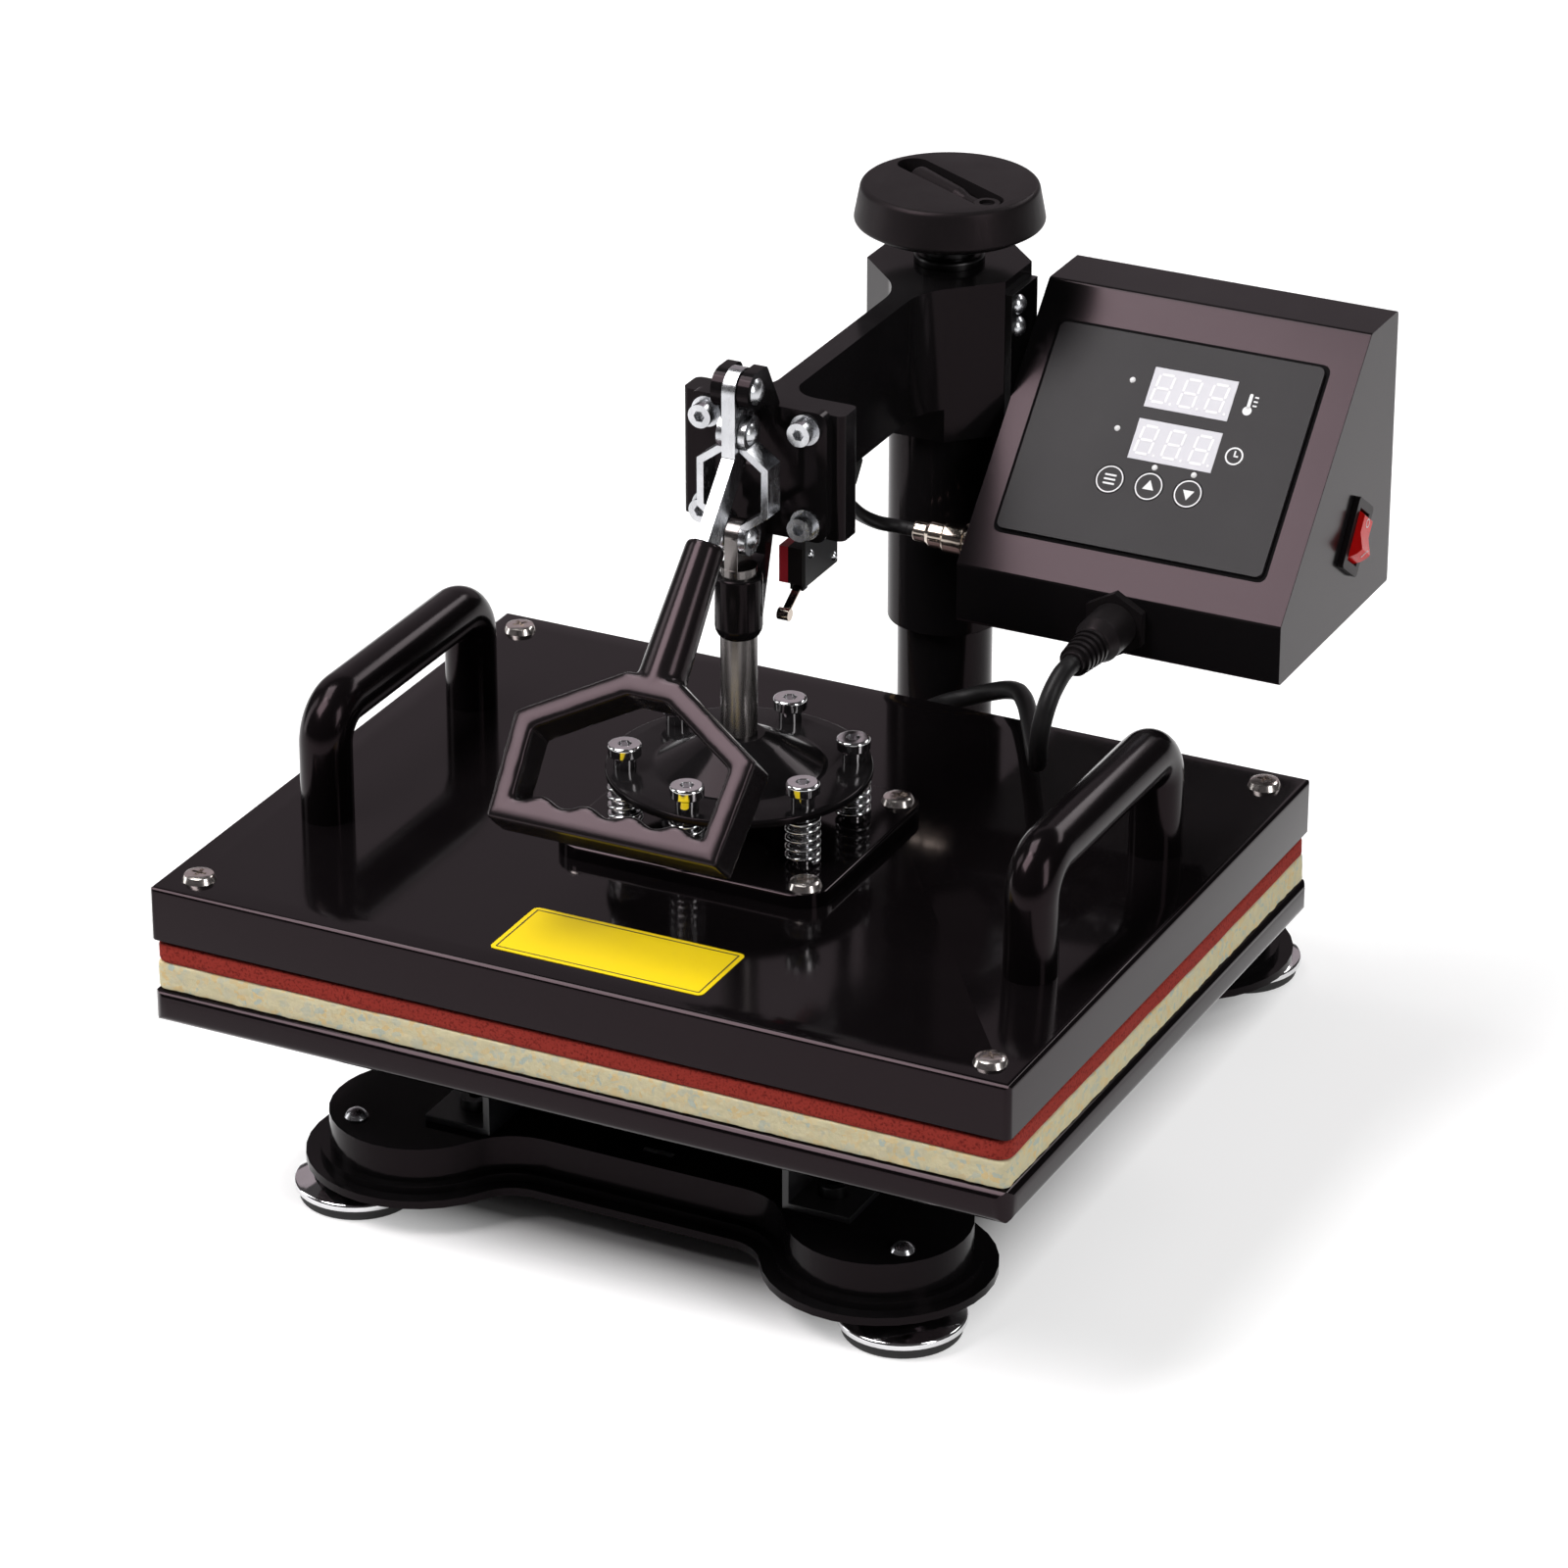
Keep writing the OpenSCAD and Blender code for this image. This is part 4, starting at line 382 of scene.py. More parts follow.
# %% Sponge finishes of the bed
CRUMB_DEPTH = 0.6 * MM
CELL_DEPTH = 0.5 * MM
chip_foam, tree, shader = principled("chip_foam", (0.7, 0.66, 0.43), Specular_IOR_Level=0.1)
chips = grouped(tree, pressed_chips, Scale=420)
crumble = grouped(tree, surface_grain, Scale=420, Low=0.85, High=0.98)
wire(tree, (chips, "Color", shader, "Base Color"), (crumble, "Roughness", shader, "Roughness"))
bumped(tree, shader, crumble.outputs["Height"], 0.7, CRUMB_DEPTH)

SILICONE_RED = (0.30, 0.034, 0.024)
# The pores are painted shade: the red darkens to this colour where the bump is lowest, in the pits.
SILICONE_PORE_SHADE = (0.15, 0.014, 0.011)
red_sponge, tree, shader = principled("red_sponge", SILICONE_RED, Specular_IOR_Level=0.1)
cells = grouped(tree, surface_grain, Scale=900, Low=0.7, High=0.85)
pore_shade = ranged(tree, cells.outputs["Height"], 0.34, 0.5, 1.0, 0.0)
tree.links.new(mixed(tree, pore_shade, SILICONE_RED, SILICONE_PORE_SHADE), shader.inputs["Base Color"])
wire(tree, (cells, "Roughness", shader, "Roughness"))
bumped(tree, shader, cells.outputs["Height"], 0.55, CELL_DEPTH)
print("finishes:", len(bpy.data.materials))

# %% [markdown]
# ## The two leads
# One lead runs from the travel switch's plug up into the arm, the other from the heater's plug down
# into the back of the platen. Each follows the route of its solid on one smooth line. The heater
# lead joins two pieces that part when the press opens; its tube is built where it lies and rides on neither.

# %% Lead routes and tubes
ROUTE_STEPS = 5
SHEATH_ROUNDING = 4


def smooth_route(points, steps):
    """A smooth line through a few points, with extra points between each pair."""
    line = []
    for i in range(len(points) - 1):
        a, b, c, d = (points[max(0, min(i + k, len(points) - 1))] for k in (-1, 0, 1, 2))
        for step in range(steps):
            t = step / steps
            line.append(b + t * (c - a) / 2 + t ** 2 * (2 * a - 5 * b + 4 * c - d) / 2
                        + t ** 3 * (3 * b - a - 3 * c + d) / 2)
    return line + [points[-1]]


def lead_tube(name, line, diameter, material):
    """A round sheath along a line, as a mesh."""
    curve = bpy.data.curves.new(name + "_line", "CURVE")
    curve.dimensions = "3D"
    curve.bevel_depth = diameter / 2
    curve.bevel_resolution = SHEATH_ROUNDING
    curve.use_fill_caps = True
    spline = curve.splines.new("POLY")
    spline.points.add(len(line) - 1)
    for point, place in zip(spline.points, line):
        point.co = (*place, 1)
    carrier = bpy.data.objects.new(name + "_line", curve)
    mesh = bpy.data.meshes.new_from_object(carrier)
    bpy.data.objects.remove(carrier)
    mesh.name = name
    mesh.materials.clear()
    mesh.materials.append(material)
    mesh.shade_smooth()
    return placed(name, mesh)


def route_length(line):
    """The length of a line of points."""
    return sum((b - a).length for a, b in zip(line, line[1:]))


def routed(points, base):
    """Route points in millimetres from the platen's middle, at a base height, as places in metres."""
    return [platen + Vector((x * MM, y * MM, base + z * MM)) for x, y, z in points]


HEATER_LEAD_D = 8 * MM
SWITCH_LEAD_D = 6 * MM
heater_line = smooth_route(routed(
    [(108.5, 86, 62), (108.5, 83.5, 62), (108.5, 81, 62), (108, 76, 60.5), (107, 69, 55),
     (105.7, 64.5, 46), (104, 64.5, 35.5), (101.5, 69.5, 25.5), (97, 79, 18), (90.5, 92, 13.5),
     (82, 108, 11.5), (72.5, 126, 11), (62.5, 144, 10), (52.5, 159, 7), (42.5, 169, 2),
     (32, 174.5, -3.5), (21.5, 174.5, -8), (13, 169.5, -10.5), (9.6, 164.5, -11.3),
     (9, 161.5, -11.3), (9, 160, -11.3), (9, 158, -11.3)], cover_top), ROUTE_STEPS)
heater_lead = lead_tube("heater_lead_sheath", heater_line, HEATER_LEAD_D, cable_sheath)
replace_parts(heater_lead, "heater_lead")
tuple(heater_line[0])
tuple(heater_line[-1])
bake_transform(heater_lead)
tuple(heater_line[0])
route_length(heater_line)

SWITCH_BASE = 146.2 * MM
switch_line = smooth_route(routed(
    [(3, 160, 73), (1, 160, 73), (-1, 160, 73), (-6, 158.5, 73.8), (-11, 152, 77), (-12.5, 140, 84.5),
     (-10.5, 126, 94), (-7, 114, 102), (-3, 104, 108.5), (-0.6, 99, 112.5), (0, 98, 115),
     (0, 98, 116.5), (0, 98, 118)], SWITCH_BASE), ROUTE_STEPS)
switch_lead = lead_tube("switch_lead_sheath", switch_line, SWITCH_LEAD_D, cable_sheath)
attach(switch_lead, "arm")
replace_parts(switch_lead, "switch_lead")
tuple(switch_line[0])
route_length(switch_line)
print("leads:", round(route_length(heater_line), 3), "m and", round(route_length(switch_line), 3), "m")

# %% [markdown]
# ## Dressing the solids
# A solid from the frame is a cloud of loose triangles with knife edges. A copy is merged, its flat
# faces joined, and its sharp edges broken with a small bevel, because paint and plating never leave
# a true corner. The bevel is what catches the light along every rim.

# %% Dress a solid
FLAT = math.radians(0.4)
WELD = 1e-6
RIM_WALL = 10 * MM
RIM_SEGMENTS = 4
EDGE_ANGLE = math.radians(40)
EDGE_SEGMENTS = 2
SHARP = 35


def mesh_of(name, bm):
    """A mesh from a bmesh, which is then freed."""
    mesh = bpy.data.meshes.new(name)
    bm.to_mesh(mesh)
    bm.free()
    return mesh


def finished(name, bm, material, slot, body=None, sharp=SHARP):
    """Turns a bmesh into a piece at the origin, shaded smooth between sharp edges."""
    mesh = mesh_of(name, bm)
    stale = mesh.attributes.get("custom_normal")
    if stale:
        mesh.attributes.remove(stale)
    mesh.materials.clear()
    mesh.materials.append(material)
    mesh.shade_smooth()
    mesh.set_sharp_from_angle(angle=math.radians(sharp))
    piece = placed(name, mesh)
    if body:
        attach(piece, body)
    return piece


slot_of = {row["node"]: row["material_slot"] for row in frame["record"]["subparts"]}


def merged(node):
    """A copy of a solid's mesh with its triangles joined and its flat faces whole."""
    bm = bmesh.new()
    bm.from_mesh(frame["nodes"][node].data)
    bmesh.ops.remove_doubles(bm, verts=bm.verts[:], dist=WELD)
    bmesh.ops.dissolve_limit(bm, angle_limit=FLAT, verts=bm.verts[:], edges=bm.edges[:])
    return bm


def is_top_rim(edge, top):
    """Whether an edge is where a tall wall meets the top of a piece."""
    if not edge.is_manifold or min(vert.co.z for vert in edge.verts) < top - WELD:
        return False
    return any(face.calc_center_median().z < top - RIM_WALL / 2 for face in edge.link_faces)


def rounded(bm, edges, offset, segments, clamp=True):
    """Bevels edges by an offset in millimetres."""
    bmesh.ops.bevel(bm, geom=edges, offset=offset * MM, offset_type="OFFSET", segments=segments,
                    profile=0.5, affect="EDGES", clamp_overlap=clamp, material=-1)


def dressed(node, material, edge=0.0, rim=0.0):
    """A finished copy of a solid that stands for it, with its sharp edges broken by edge millimetres."""
    bm = merged(node)
    if rim:
        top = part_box(node)[1].z
        rounded(bm, [e for e in bm.edges if is_top_rim(e, top)], rim, RIM_SEGMENTS)
    if edge:
        rims = [e for e in bm.edges if e.is_manifold and e.calc_face_angle() > EDGE_ANGLE]
        rounded(bm, rims, edge, EDGE_SEGMENTS)
    piece = finished(node + "_dressed", bm, material, slot_of[node], frame["nodes"][node]["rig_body"])
    if edge:
        weighted = piece.modifiers.new("even_flats", "WEIGHTED_NORMAL")
        weighted.keep_sharp = True
    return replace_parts(piece, node)


def dressed_count():
    """How many solids are dressed so far."""
    return sum(1 for obj in scene.objects if obj.name.endswith("_dressed"))


# %% [markdown]
# ## The stand
# A pressed base on four dished feet carries the post and the channels under the lower board. The
# base was drawn in a die, so the rim of its top gets a wider round than the other edges.

# %% Stand and bed
PRESSED_RIM = 3.5
dressed("base_pressing", cast_enamel, 1.0, rim=PRESSED_RIM)
dressed("post", cast_enamel, 0.8)
dressed("lower_board", gloss_enamel)
dressed("board_supports", satin_powder, 0.6)
dressed("foot_cups", bright_chrome)
dressed("foot_pads", matte_rubber)
dressed("foot_bolts", zinc_plate)
dressed("base_bolts", black_oxide, 0.3)
print("dressed with the stand:", dressed_count())

# %% [markdown]
# ## The arm
# The arm, its toggle frame and the sleeve on the post are castings under thick enamel, so their edges
# are broken further than those of turned parts. The knob and its fold-out grip are moulded.

# %% Arm and head
for node, edge in (("swing_arm", 1.2), ("toggle_frame", 0.8), ("sleeve", 0.8)):
    dressed(node, cast_enamel, edge)
dressed("sleeve_bushes", sintered_bronze, 0.3)
for node in ("screw_nut", "thrust_washer", "pressure_screw"):
    dressed(node, black_oxide, 0.3)
for node in ("height_knob", "crank_grip"):
    dressed(node, moulded_plastic)
dressed("crank_pin", zinc_plate)
print("dressed with the arm:", dressed_count())

# %% [markdown]
# ## The toggle
# The lever's bar and the links are stamped from sheet and plated with zinc, which leaves short soft
# edges. The rod is ground steel, and the travel switch's lever a thin nickel-plated strip.

# %% Toggle, lever bar and switch lever
for node, edge in (("toggle_screws", 0.25), ("lever_pin", 0), ("lever_bar", 0.4), ("toggle_links", 0.4),
                   ("link_pins", 0)):
    dressed(node, zinc_plate, edge)
dressed("plunger_rod", ground_steel, 0.3)
dressed("switch_lever", nickel_plate)
print("dressed with the toggle:", dressed_count())

# %% [markdown]
# ## The lever's handle
# The loop is one plastic moulding with every edge well rounded. The rounding runs across the finger
# scallops, so instead of a bevel the solid is rebuilt in small even cells, which are then smoothed.

# %% Lever handle
GRIP_CELL = 0.8 * MM
GRIP_PASSES = 14
GRIP_EASE = 0.5
lever_grip = dressed("lever_handle", grip_plastic)
even_cells = lever_grip.modifiers.new("even_cells", "REMESH")
even_cells.mode = "VOXEL"
even_cells.voxel_size = GRIP_CELL
even_cells.use_smooth_shade = True
rounding = lever_grip.modifiers.new("rounding", "SMOOTH")
rounding.factor = GRIP_EASE
rounding.iterations = GRIP_PASSES
print("handle modifiers:", [modifier.name for modifier in lever_grip.modifiers])

# %% [markdown]
# ## The travel switch
# A folded bracket with bright screws holds a small switch, whose case is moulded in two halves of
# different plastic. Each is one solid, so its faces get their finish by where they stand.

# %% Bracket of the travel switch
switch_holder = dressed("switch_bracket", satin_powder)
switch_holder.data.materials.append(zinc_plate)
holder_low, holder_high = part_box("switch_bracket")
HOLDER_T = 1.6 * MM
for face in switch_holder.data.polygons:
    stands_out = face.center.x > holder_low.x + HOLDER_T
    face.material_index = int(stands_out and face.center.z < holder_high.z - 2 * HOLDER_T)
print("bright faces:", sum(face.material_index for face in switch_holder.data.polygons))

# %% Two halves of the travel switch
SWITCH_SPLIT = 4 * MM
halves = merged("switch_body")
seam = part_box("switch_body")[0].x + SWITCH_SPLIT
bmesh.ops.bisect_plane(halves, geom=halves.verts[:] + halves.edges[:] + halves.faces[:], dist=WELD,
                       plane_co=(seam, 0, 0), plane_no=(1, 0, 0))
switch_case = finished("switch_body_dressed", halves, red_housing, slot_of["switch_body"], "arm")
switch_case.data.materials.append(moulded_plastic)
for face in switch_case.data.polygons:
    face.material_index = int(face.center.x > seam)
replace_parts(switch_case, "switch_body")
print("switch seam at x =", round(seam, 4))

# %% [markdown]
# ## The platen
# A folded cover in the glossiest enamel closes over the insulation and the cast heat plate. The bent
# side handles were dipped, so their gloss is softer. Shoulder bolts guide the floating disc.

# %% Platen and floating disc
dressed("platen_cover", gloss_enamel)
dressed("flange_plate", gloss_enamel, 0.5)
dressed("float_disc", cast_enamel)
dressed("side_handles", dipped_enamel)
dressed("heat_plate", cast_aluminium)
dressed("insulation", wool_board)
dressed("shoulder_bolts", bright_chrome, 0.25)
print("dressed with the platen:", dressed_count())

# %% [markdown]
# ## The platen's screws
# The screws have flattened heads with cross recesses. The solids have plain heads, so each top is
# drawn down to a flat dome. Two thin blades then cut a cross in it, at another turn on each screw.

# %% Screw heads
HEAD_R = 7 * MM
HEAD_H = 4 * MM
PAN_H = 3.1 * MM
PAN_POWER = 6


def shells(bm):
    """The separate shells of a mesh, each as a list of its vertices, in the mesh's own order."""
    reached = set()
    for first in bm.verts:
        if first in reached:
            continue
        reached.add(first)
        shell = [first]
        for vert in shell:
            for edge in vert.link_edges:
                other = edge.other_vert(vert)
                if other not in reached:
                    reached.add(other)
                    shell.append(other)
        yield shell


pan_heads = merged("platen_screws")
head_tops = []
for shell in shells(pan_heads):
    seat = max(vert.co.z for vert in shell) - HEAD_H
    middle = sum((vert.co for vert in shell), Vector()) / len(shell)
    for vert in shell:
        if vert.co.z > seat + WELD:
            reach = min(1, math.hypot(vert.co.x - middle.x, vert.co.y - middle.y) / HEAD_R)
            vert.co.z = seat + PAN_H * math.sqrt(1 - reach ** PAN_POWER)
    head_tops.append(Vector((middle.x, middle.y, seat + PAN_H)))
screw_heads = finished("platen_screws_dressed", pan_heads, satin_nickel, slot_of["platen_screws"], "platen")
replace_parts(screw_heads, "platen_screws")
print("screw heads:", len(head_tops))

# %% Cut the cross recesses
RECESS_L = 6.4 * MM
RECESS_W = 1.5 * MM
RECESS_DEPTH = 1.7 * MM
RECESS_TURN = 0.9
blade_size = Matrix.Diagonal((RECESS_L, RECESS_W, 2 * RECESS_DEPTH, 1))
cutters = []
for quarter in (0, 1):
    blades = bmesh.new()
    for number, top in enumerate(sorted(head_tops, key=lambda top: (round(top.x, 3), top.y))):
        turn = Matrix.Rotation(number * RECESS_TURN + quarter * math.pi / 2, 4, "Z")
        bmesh.ops.create_cube(blades, size=1, matrix=Matrix.Translation(top) @ turn @ blade_size)
    cutter = placed("recess_blades", mesh_of("recess_blades", blades))
    cutters.append(cutter)
    cut = screw_heads.modifiers.new("recess", "BOOLEAN")
    cut.operation = "DIFFERENCE"
    cut.object = cutter
whole = screw_heads.evaluated_get(bpy.context.evaluated_depsgraph_get())
recessed = bpy.data.meshes.new_from_object(whole)
screw_heads.modifiers.clear()
screw_heads.data = recessed
recessed.set_sharp_from_angle(angle=math.radians(SHARP))
for cutter in cutters:
    bpy.data.objects.remove(cutter)
print("faces of the screws with their recesses:", len(recessed.polygons))

# %% [markdown]
# ## The control box
# A folded box in a duller enamel holds the controls: a sloping panel under dark film, with grey
# windows, lamps and keys in it, and a red main switch in the side.

# %% Control box
for node in ("box_shell", "box_back"):
    dressed(node, box_enamel, 0.7)
dressed("box_bracket", black_oxide, 0.2)
dressed("box_screws", zinc_plate, 0.2)
dressed("switch_plug", nickel_plate)
for node in ("heater_plug", "mains_gland"):
    dressed(node, moulded_plastic)
dressed("rocker_bezel", moulded_plastic, 0.3)
for node in ("lead_grommet", "lead_gland"):
    dressed(node, matte_rubber)
dressed("control_board", circuit_board)
dressed("display_panel", overlay_film, 0.2)
dressed("display_windows", window_lens)
dressed("indicator_lamps", lamp_lens)
for node in ("set_key", "up_key", "down_key"):
    dressed(node, overlay_film, 0.15)
dressed("rocker", red_lens, 0.4)
print("dressed pieces:", dressed_count())

# %% [markdown]
# ## Springs
# Six coil springs hold the disc off the platen. A coil is a circle of wire carried round an axis and
# up it at the same time, which is what spin does when each step also gets a shift. The end curls
# lie closer than those in the middle.

# %% Springs
WIRE_D = 2 * MM
WIRE_SIDES = 10
SPRING_D = 15 * MM
SPRING_SEAT = 0.1 * MM
END_PITCH = 2.7 * MM
OPEN_CURLS = 3.5
STEPS_PER_CURL = 28
BOLT_CIRCLE = 46.4 * MM
BOLT_COUNT = 6
FIRST_BOLT = -90
ROUND_SHARP = 60

flange_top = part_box("flange_plate")[1].z
disc_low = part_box("float_disc")[0].z
spring_height = disc_low - flange_top - WIRE_D - 2 * SPRING_SEAT
open_pitch = (spring_height - 2 * END_PITCH) / OPEN_CURLS


def coil(bm):
    """One spring about the Z axis, standing on z = 0."""
    start = Matrix.Translation(((SPRING_D - WIRE_D) / 2, 0, WIRE_D / 2))
    section = bmesh.ops.create_circle(bm, cap_ends=False, segments=WIRE_SIDES, radius=WIRE_D / 2,
                                      matrix=start @ Matrix.Rotation(math.pi / 2, 4, "X"))
    first = [e for e in bm.edges if e.verts[0] in section["verts"]]
    last = first
    for curls, pitch in ((1, END_PITCH), (OPEN_CURLS, open_pitch), (1, END_PITCH)):
        steps = round(STEPS_PER_CURL * curls)
        turned = bmesh.ops.spin(bm, geom=last, cent=(0, 0, 0), axis=(0, 0, 1), angle=2 * math.pi * curls,
                                steps=steps, dvec=(0, 0, pitch * curls / steps), use_merge=False)
        last = [part for part in turned["geom_last"] if isinstance(part, bmesh.types.BMEdge)]
    for rim in (first, last):
        bmesh.ops.contextual_create(bm, geom=rim)
    bmesh.ops.remove_doubles(bm, verts=bm.verts[:], dist=WELD)


springs = bmesh.new()
for number in range(BOLT_COUNT):
    one = bmesh.new()
    coil(one)
    turn = math.radians(FIRST_BOLT + 360 * number / BOLT_COUNT)
    place = platen + Vector((BOLT_CIRCLE * math.cos(turn), BOLT_CIRCLE * math.sin(turn),
                             flange_top + SPRING_SEAT))
    bmesh.ops.transform(one, matrix=Matrix.Translation(place) @ Matrix.Rotation(turn, 4, "Z"),
                        verts=one.verts[:])
    bmesh.ops.recalc_face_normals(one, faces=one.faces[:])
    carrier = mesh_of("coil", one)
    springs.from_mesh(carrier)
    bpy.data.meshes.remove(carrier)
spring_set = finished("spring_coils", springs, bright_chrome, "zinc", sharp=ROUND_SHARP)
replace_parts(spring_set, "springs")
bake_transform(spring_set)
print("spring faces:", len(spring_set.data.polygons))

# %% [markdown]
# ## The bed
# A sheet of pressed foam crumbs lies on the lower board, and a softer red sponge on top of it. Both
# were cut with a knife, so their sides waver. A box is cut into short lengths along its rim, and the
# rim is then moved in and out by smooth noise.

# %% Mats
MAT_STEP = 2.5 * MM
MAT_LAYERS = 4
CORNER_SEGMENTS = 5
SOFT_SEGMENTS = 3
LEVEL_RIM = math.radians(60)
CUT_ZONE = 0.45


def cut_mat(node, material, slot, corner, rim, waver, grain, seed):
    """A mat with rounded corners and soft rims, whose cut sides waver by a fraction of a millimetre."""
    low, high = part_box(node)
    size = high - low
    middle = (low + high) / 2
    room = waver * MM
    bm = bmesh.new()
    bmesh.ops.create_cube(bm, size=1)
    bmesh.ops.scale(bm, vec=(size.x - 2 * room, size.y - 2 * room, size.z), verts=bm.verts[:])
    upright = [e for e in bm.edges if abs(e.verts[0].co.z - e.verts[1].co.z) > size.z / 2]
    rounded(bm, upright, corner, CORNER_SEGMENTS, clamp=False)
    level = [e for e in bm.edges if e.is_manifold and e.calc_face_angle() > LEVEL_RIM]
    rounded(bm, level, rim, SOFT_SEGMENTS, clamp=False)
    for axis, length in ((0, size.x), (1, size.y)):
        runs = [e for e in bm.edges if abs(e.verts[0].co[axis] - e.verts[1].co[axis]) > length / 2]
        bmesh.ops.subdivide_edges(bm, edges=runs, cuts=round(length / MAT_STEP), use_grid_fill=True)
    tall = [e for e in bm.edges if abs(e.verts[0].co.z - e.verts[1].co.z) > size.z / 3]
    bmesh.ops.subdivide_edges(bm, edges=tall, cuts=MAT_LAYERS, use_grid_fill=True)
    for vert in bm.verts:
        out = Vector((vert.co.x / size.x, vert.co.y / size.y, 0))
        axis = 0 if abs(out.x) > abs(out.y) else 1
        side = Vector((0, 0, 0))
        side[axis] = math.copysign(1, out[axis])
        if abs(out[axis]) > CUT_ZONE:
            vert.co += side * room * noise.noise(vert.co * grain + Vector((seed, seed, seed)))
    bmesh.ops.translate(bm, vec=middle, verts=bm.verts[:])
    mat = finished(node + "_sheet", bm, material, slot, "stand", sharp=ROUND_SHARP)
    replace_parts(mat, node)
    return mat


foam_sheet = cut_mat("foam_mat", chip_foam, "foam", 4, 1.0, 0.55, 210, 3.1)
silicone_sheet = cut_mat("silicone_mat", red_sponge, "silicone", 6, 1.6, 0.35, 60, 7.7)
print("mat faces:", len(foam_sheet.data.polygons), len(silicone_sheet.data.polygons))

# %% [markdown]
# ## The panel's print
# The overlay carries two three-digit displays, unlit, and three keys with printed rings. A
# thermometer and a clock tell the displays apart. A dark sheet round the film is painted shade: it
# stands for the shadow in the narrow gap round the film. Each mark is a thin flat shape laid on the
# slope. A small frame of axes on the slope places them: X runs across the panel, Y up the slope and
# Z out of it.

# %% Panel frame and flat marks
shell_low, shell_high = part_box("box_shell")
LIP_RISE = 26.5 * MM
TOP_DEPTH = 30 * MM
slope_run = (shell_high.y - shell_low.y) - TOP_DEPTH
slope_rise = (shell_high.z - shell_low.z) - LIP_RISE
SLOPE = math.atan2(slope_rise, slope_run)
PANEL_SHIFT = -1 * MM
panel_middle = Vector(((shell_low.x + shell_high.x) / 2 + PANEL_SHIFT, shell_low.y + slope_run / 2,
                       shell_low.z + LIP_RISE + slope_rise / 2))
panel_frame = Matrix.Translation(panel_middle) @ Matrix.Rotation(SLOPE, 4, "X")
panel_out = panel_frame.to_3x3() @ Vector((0, 0, 1))
INK = 0.06 * MM
CORNER_CUTS = 3


def height_on_panel(node):
    """How far a solid's outermost point stands out of the slope."""
    return max((vert.co - panel_middle).dot(panel_out) for vert in frame["nodes"][node].data.vertices)


def plate(bm, width, height, at, lean=0.0, round_off=0.0, thick=INK):
    """A thin plate about a point of a flat frame, with its corners cut back."""
    made = bmesh.ops.create_grid(bm, x_segments=1, y_segments=1, size=0.5)["verts"]
    bmesh.ops.scale(bm, vec=(width, height, 1), verts=made)
    if round_off:
        made = bmesh.ops.bevel(bm, geom=made, offset=round_off, offset_type="OFFSET",
                               segments=CORNER_CUTS, profile=0.5, affect="VERTICES", material=-1)["verts"]
    face = made[0].link_faces[0]
    risen = bmesh.ops.extrude_face_region(bm, geom=[face], use_keep_orig=True)["geom"]
    top = [part for part in risen if isinstance(part, bmesh.types.BMVert)]
    bmesh.ops.translate(bm, vec=(0, 0, thick), verts=top)
    tilt = Matrix.Identity(4)
    tilt[0][1] = math.tan(lean)
    bmesh.ops.transform(bm, matrix=Matrix.Translation((*at, 0)) @ tilt, verts=[*top, *face.verts])


def laid(bm, name, material, slot, body, base, lift):
    """Lays flat marks on a frame at a height and makes them a piece."""
    bmesh.ops.transform(bm, matrix=base @ Matrix.Translation((0, 0, lift)), verts=bm.verts[:])
    bmesh.ops.recalc_face_normals(bm, faces=bm.faces[:])
    return finished(name, bm, material, slot, body)


print("panel slope:", round(math.degrees(SLOPE), 2))

# %% Painted shade round the overlay: a dark sheet for the shadow in its gap
GAP_SHADE_W = 1.8 * MM
GAP_SHADE_ROUND = 3.6 * MM
CLEAR = 0.02 * MM
panel_low, panel_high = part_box("display_panel")
gap_shade_size = (panel_high.x - panel_low.x + 2 * GAP_SHADE_W,
             math.hypot(panel_high.y - panel_low.y, panel_high.z - panel_low.z) + GAP_SHADE_W)
gap_shade = bmesh.new()
plate(gap_shade, *gap_shade_size, (0, 0), round_off=GAP_SHADE_ROUND)
laid(gap_shade, "panel_gap_shade", gap_shade_black, "panel", "arm", panel_frame, CLEAR)
print("seal:", tuple(round(side, 4) for side in gap_shade_size))

# %% Digits
WINDOW_X = 6 * MM
WINDOW_S = (25.6 * MM, 2.2 * MM)
DIGIT_PITCH = 12.2 * MM
DIGIT_W = 6.6 * MM
DIGIT_H = 12.4 * MM
STROKE = 1.15 * MM
DIGIT_LEAN = math.radians(6)
DIGIT_SHIFT = 0.6 * MM
BAR_END = STROKE * 0.45
UPRIGHT = DIGIT_H / 2 - STROKE * 0.7
POINT_GAP = 1.7 * MM
POINT_END = STROKE * 0.4

digits = bmesh.new()
for row in WINDOW_S:
    for column in (-1, 0, 1):
        centre = Vector((WINDOW_X + column * DIGIT_PITCH - DIGIT_SHIFT, row))
        for level in (-1, 0, 1):
            shift = level * DIGIT_H / 2
            plate(digits, DIGIT_W - STROKE, STROKE, centre + Vector((shift * math.tan(DIGIT_LEAN), shift)),
                  round_off=BAR_END)
        for side in (-1, 1):
            for level in (-1, 1):
                shift = level * DIGIT_H / 4
                plate(digits, STROKE, UPRIGHT,
                      centre + Vector((side * DIGIT_W / 2 + shift * math.tan(DIGIT_LEAN), shift)),
                      lean=DIGIT_LEAN, round_off=BAR_END)
        plate(digits, STROKE, STROKE, centre + Vector((DIGIT_W / 2 + POINT_GAP, -DIGIT_H / 2)),
              round_off=POINT_END)
print("faces of the digits:", len(digits.faces))
laid(digits, "display_digits", white_print, "window", "arm", panel_frame, height_on_panel("display_windows"))

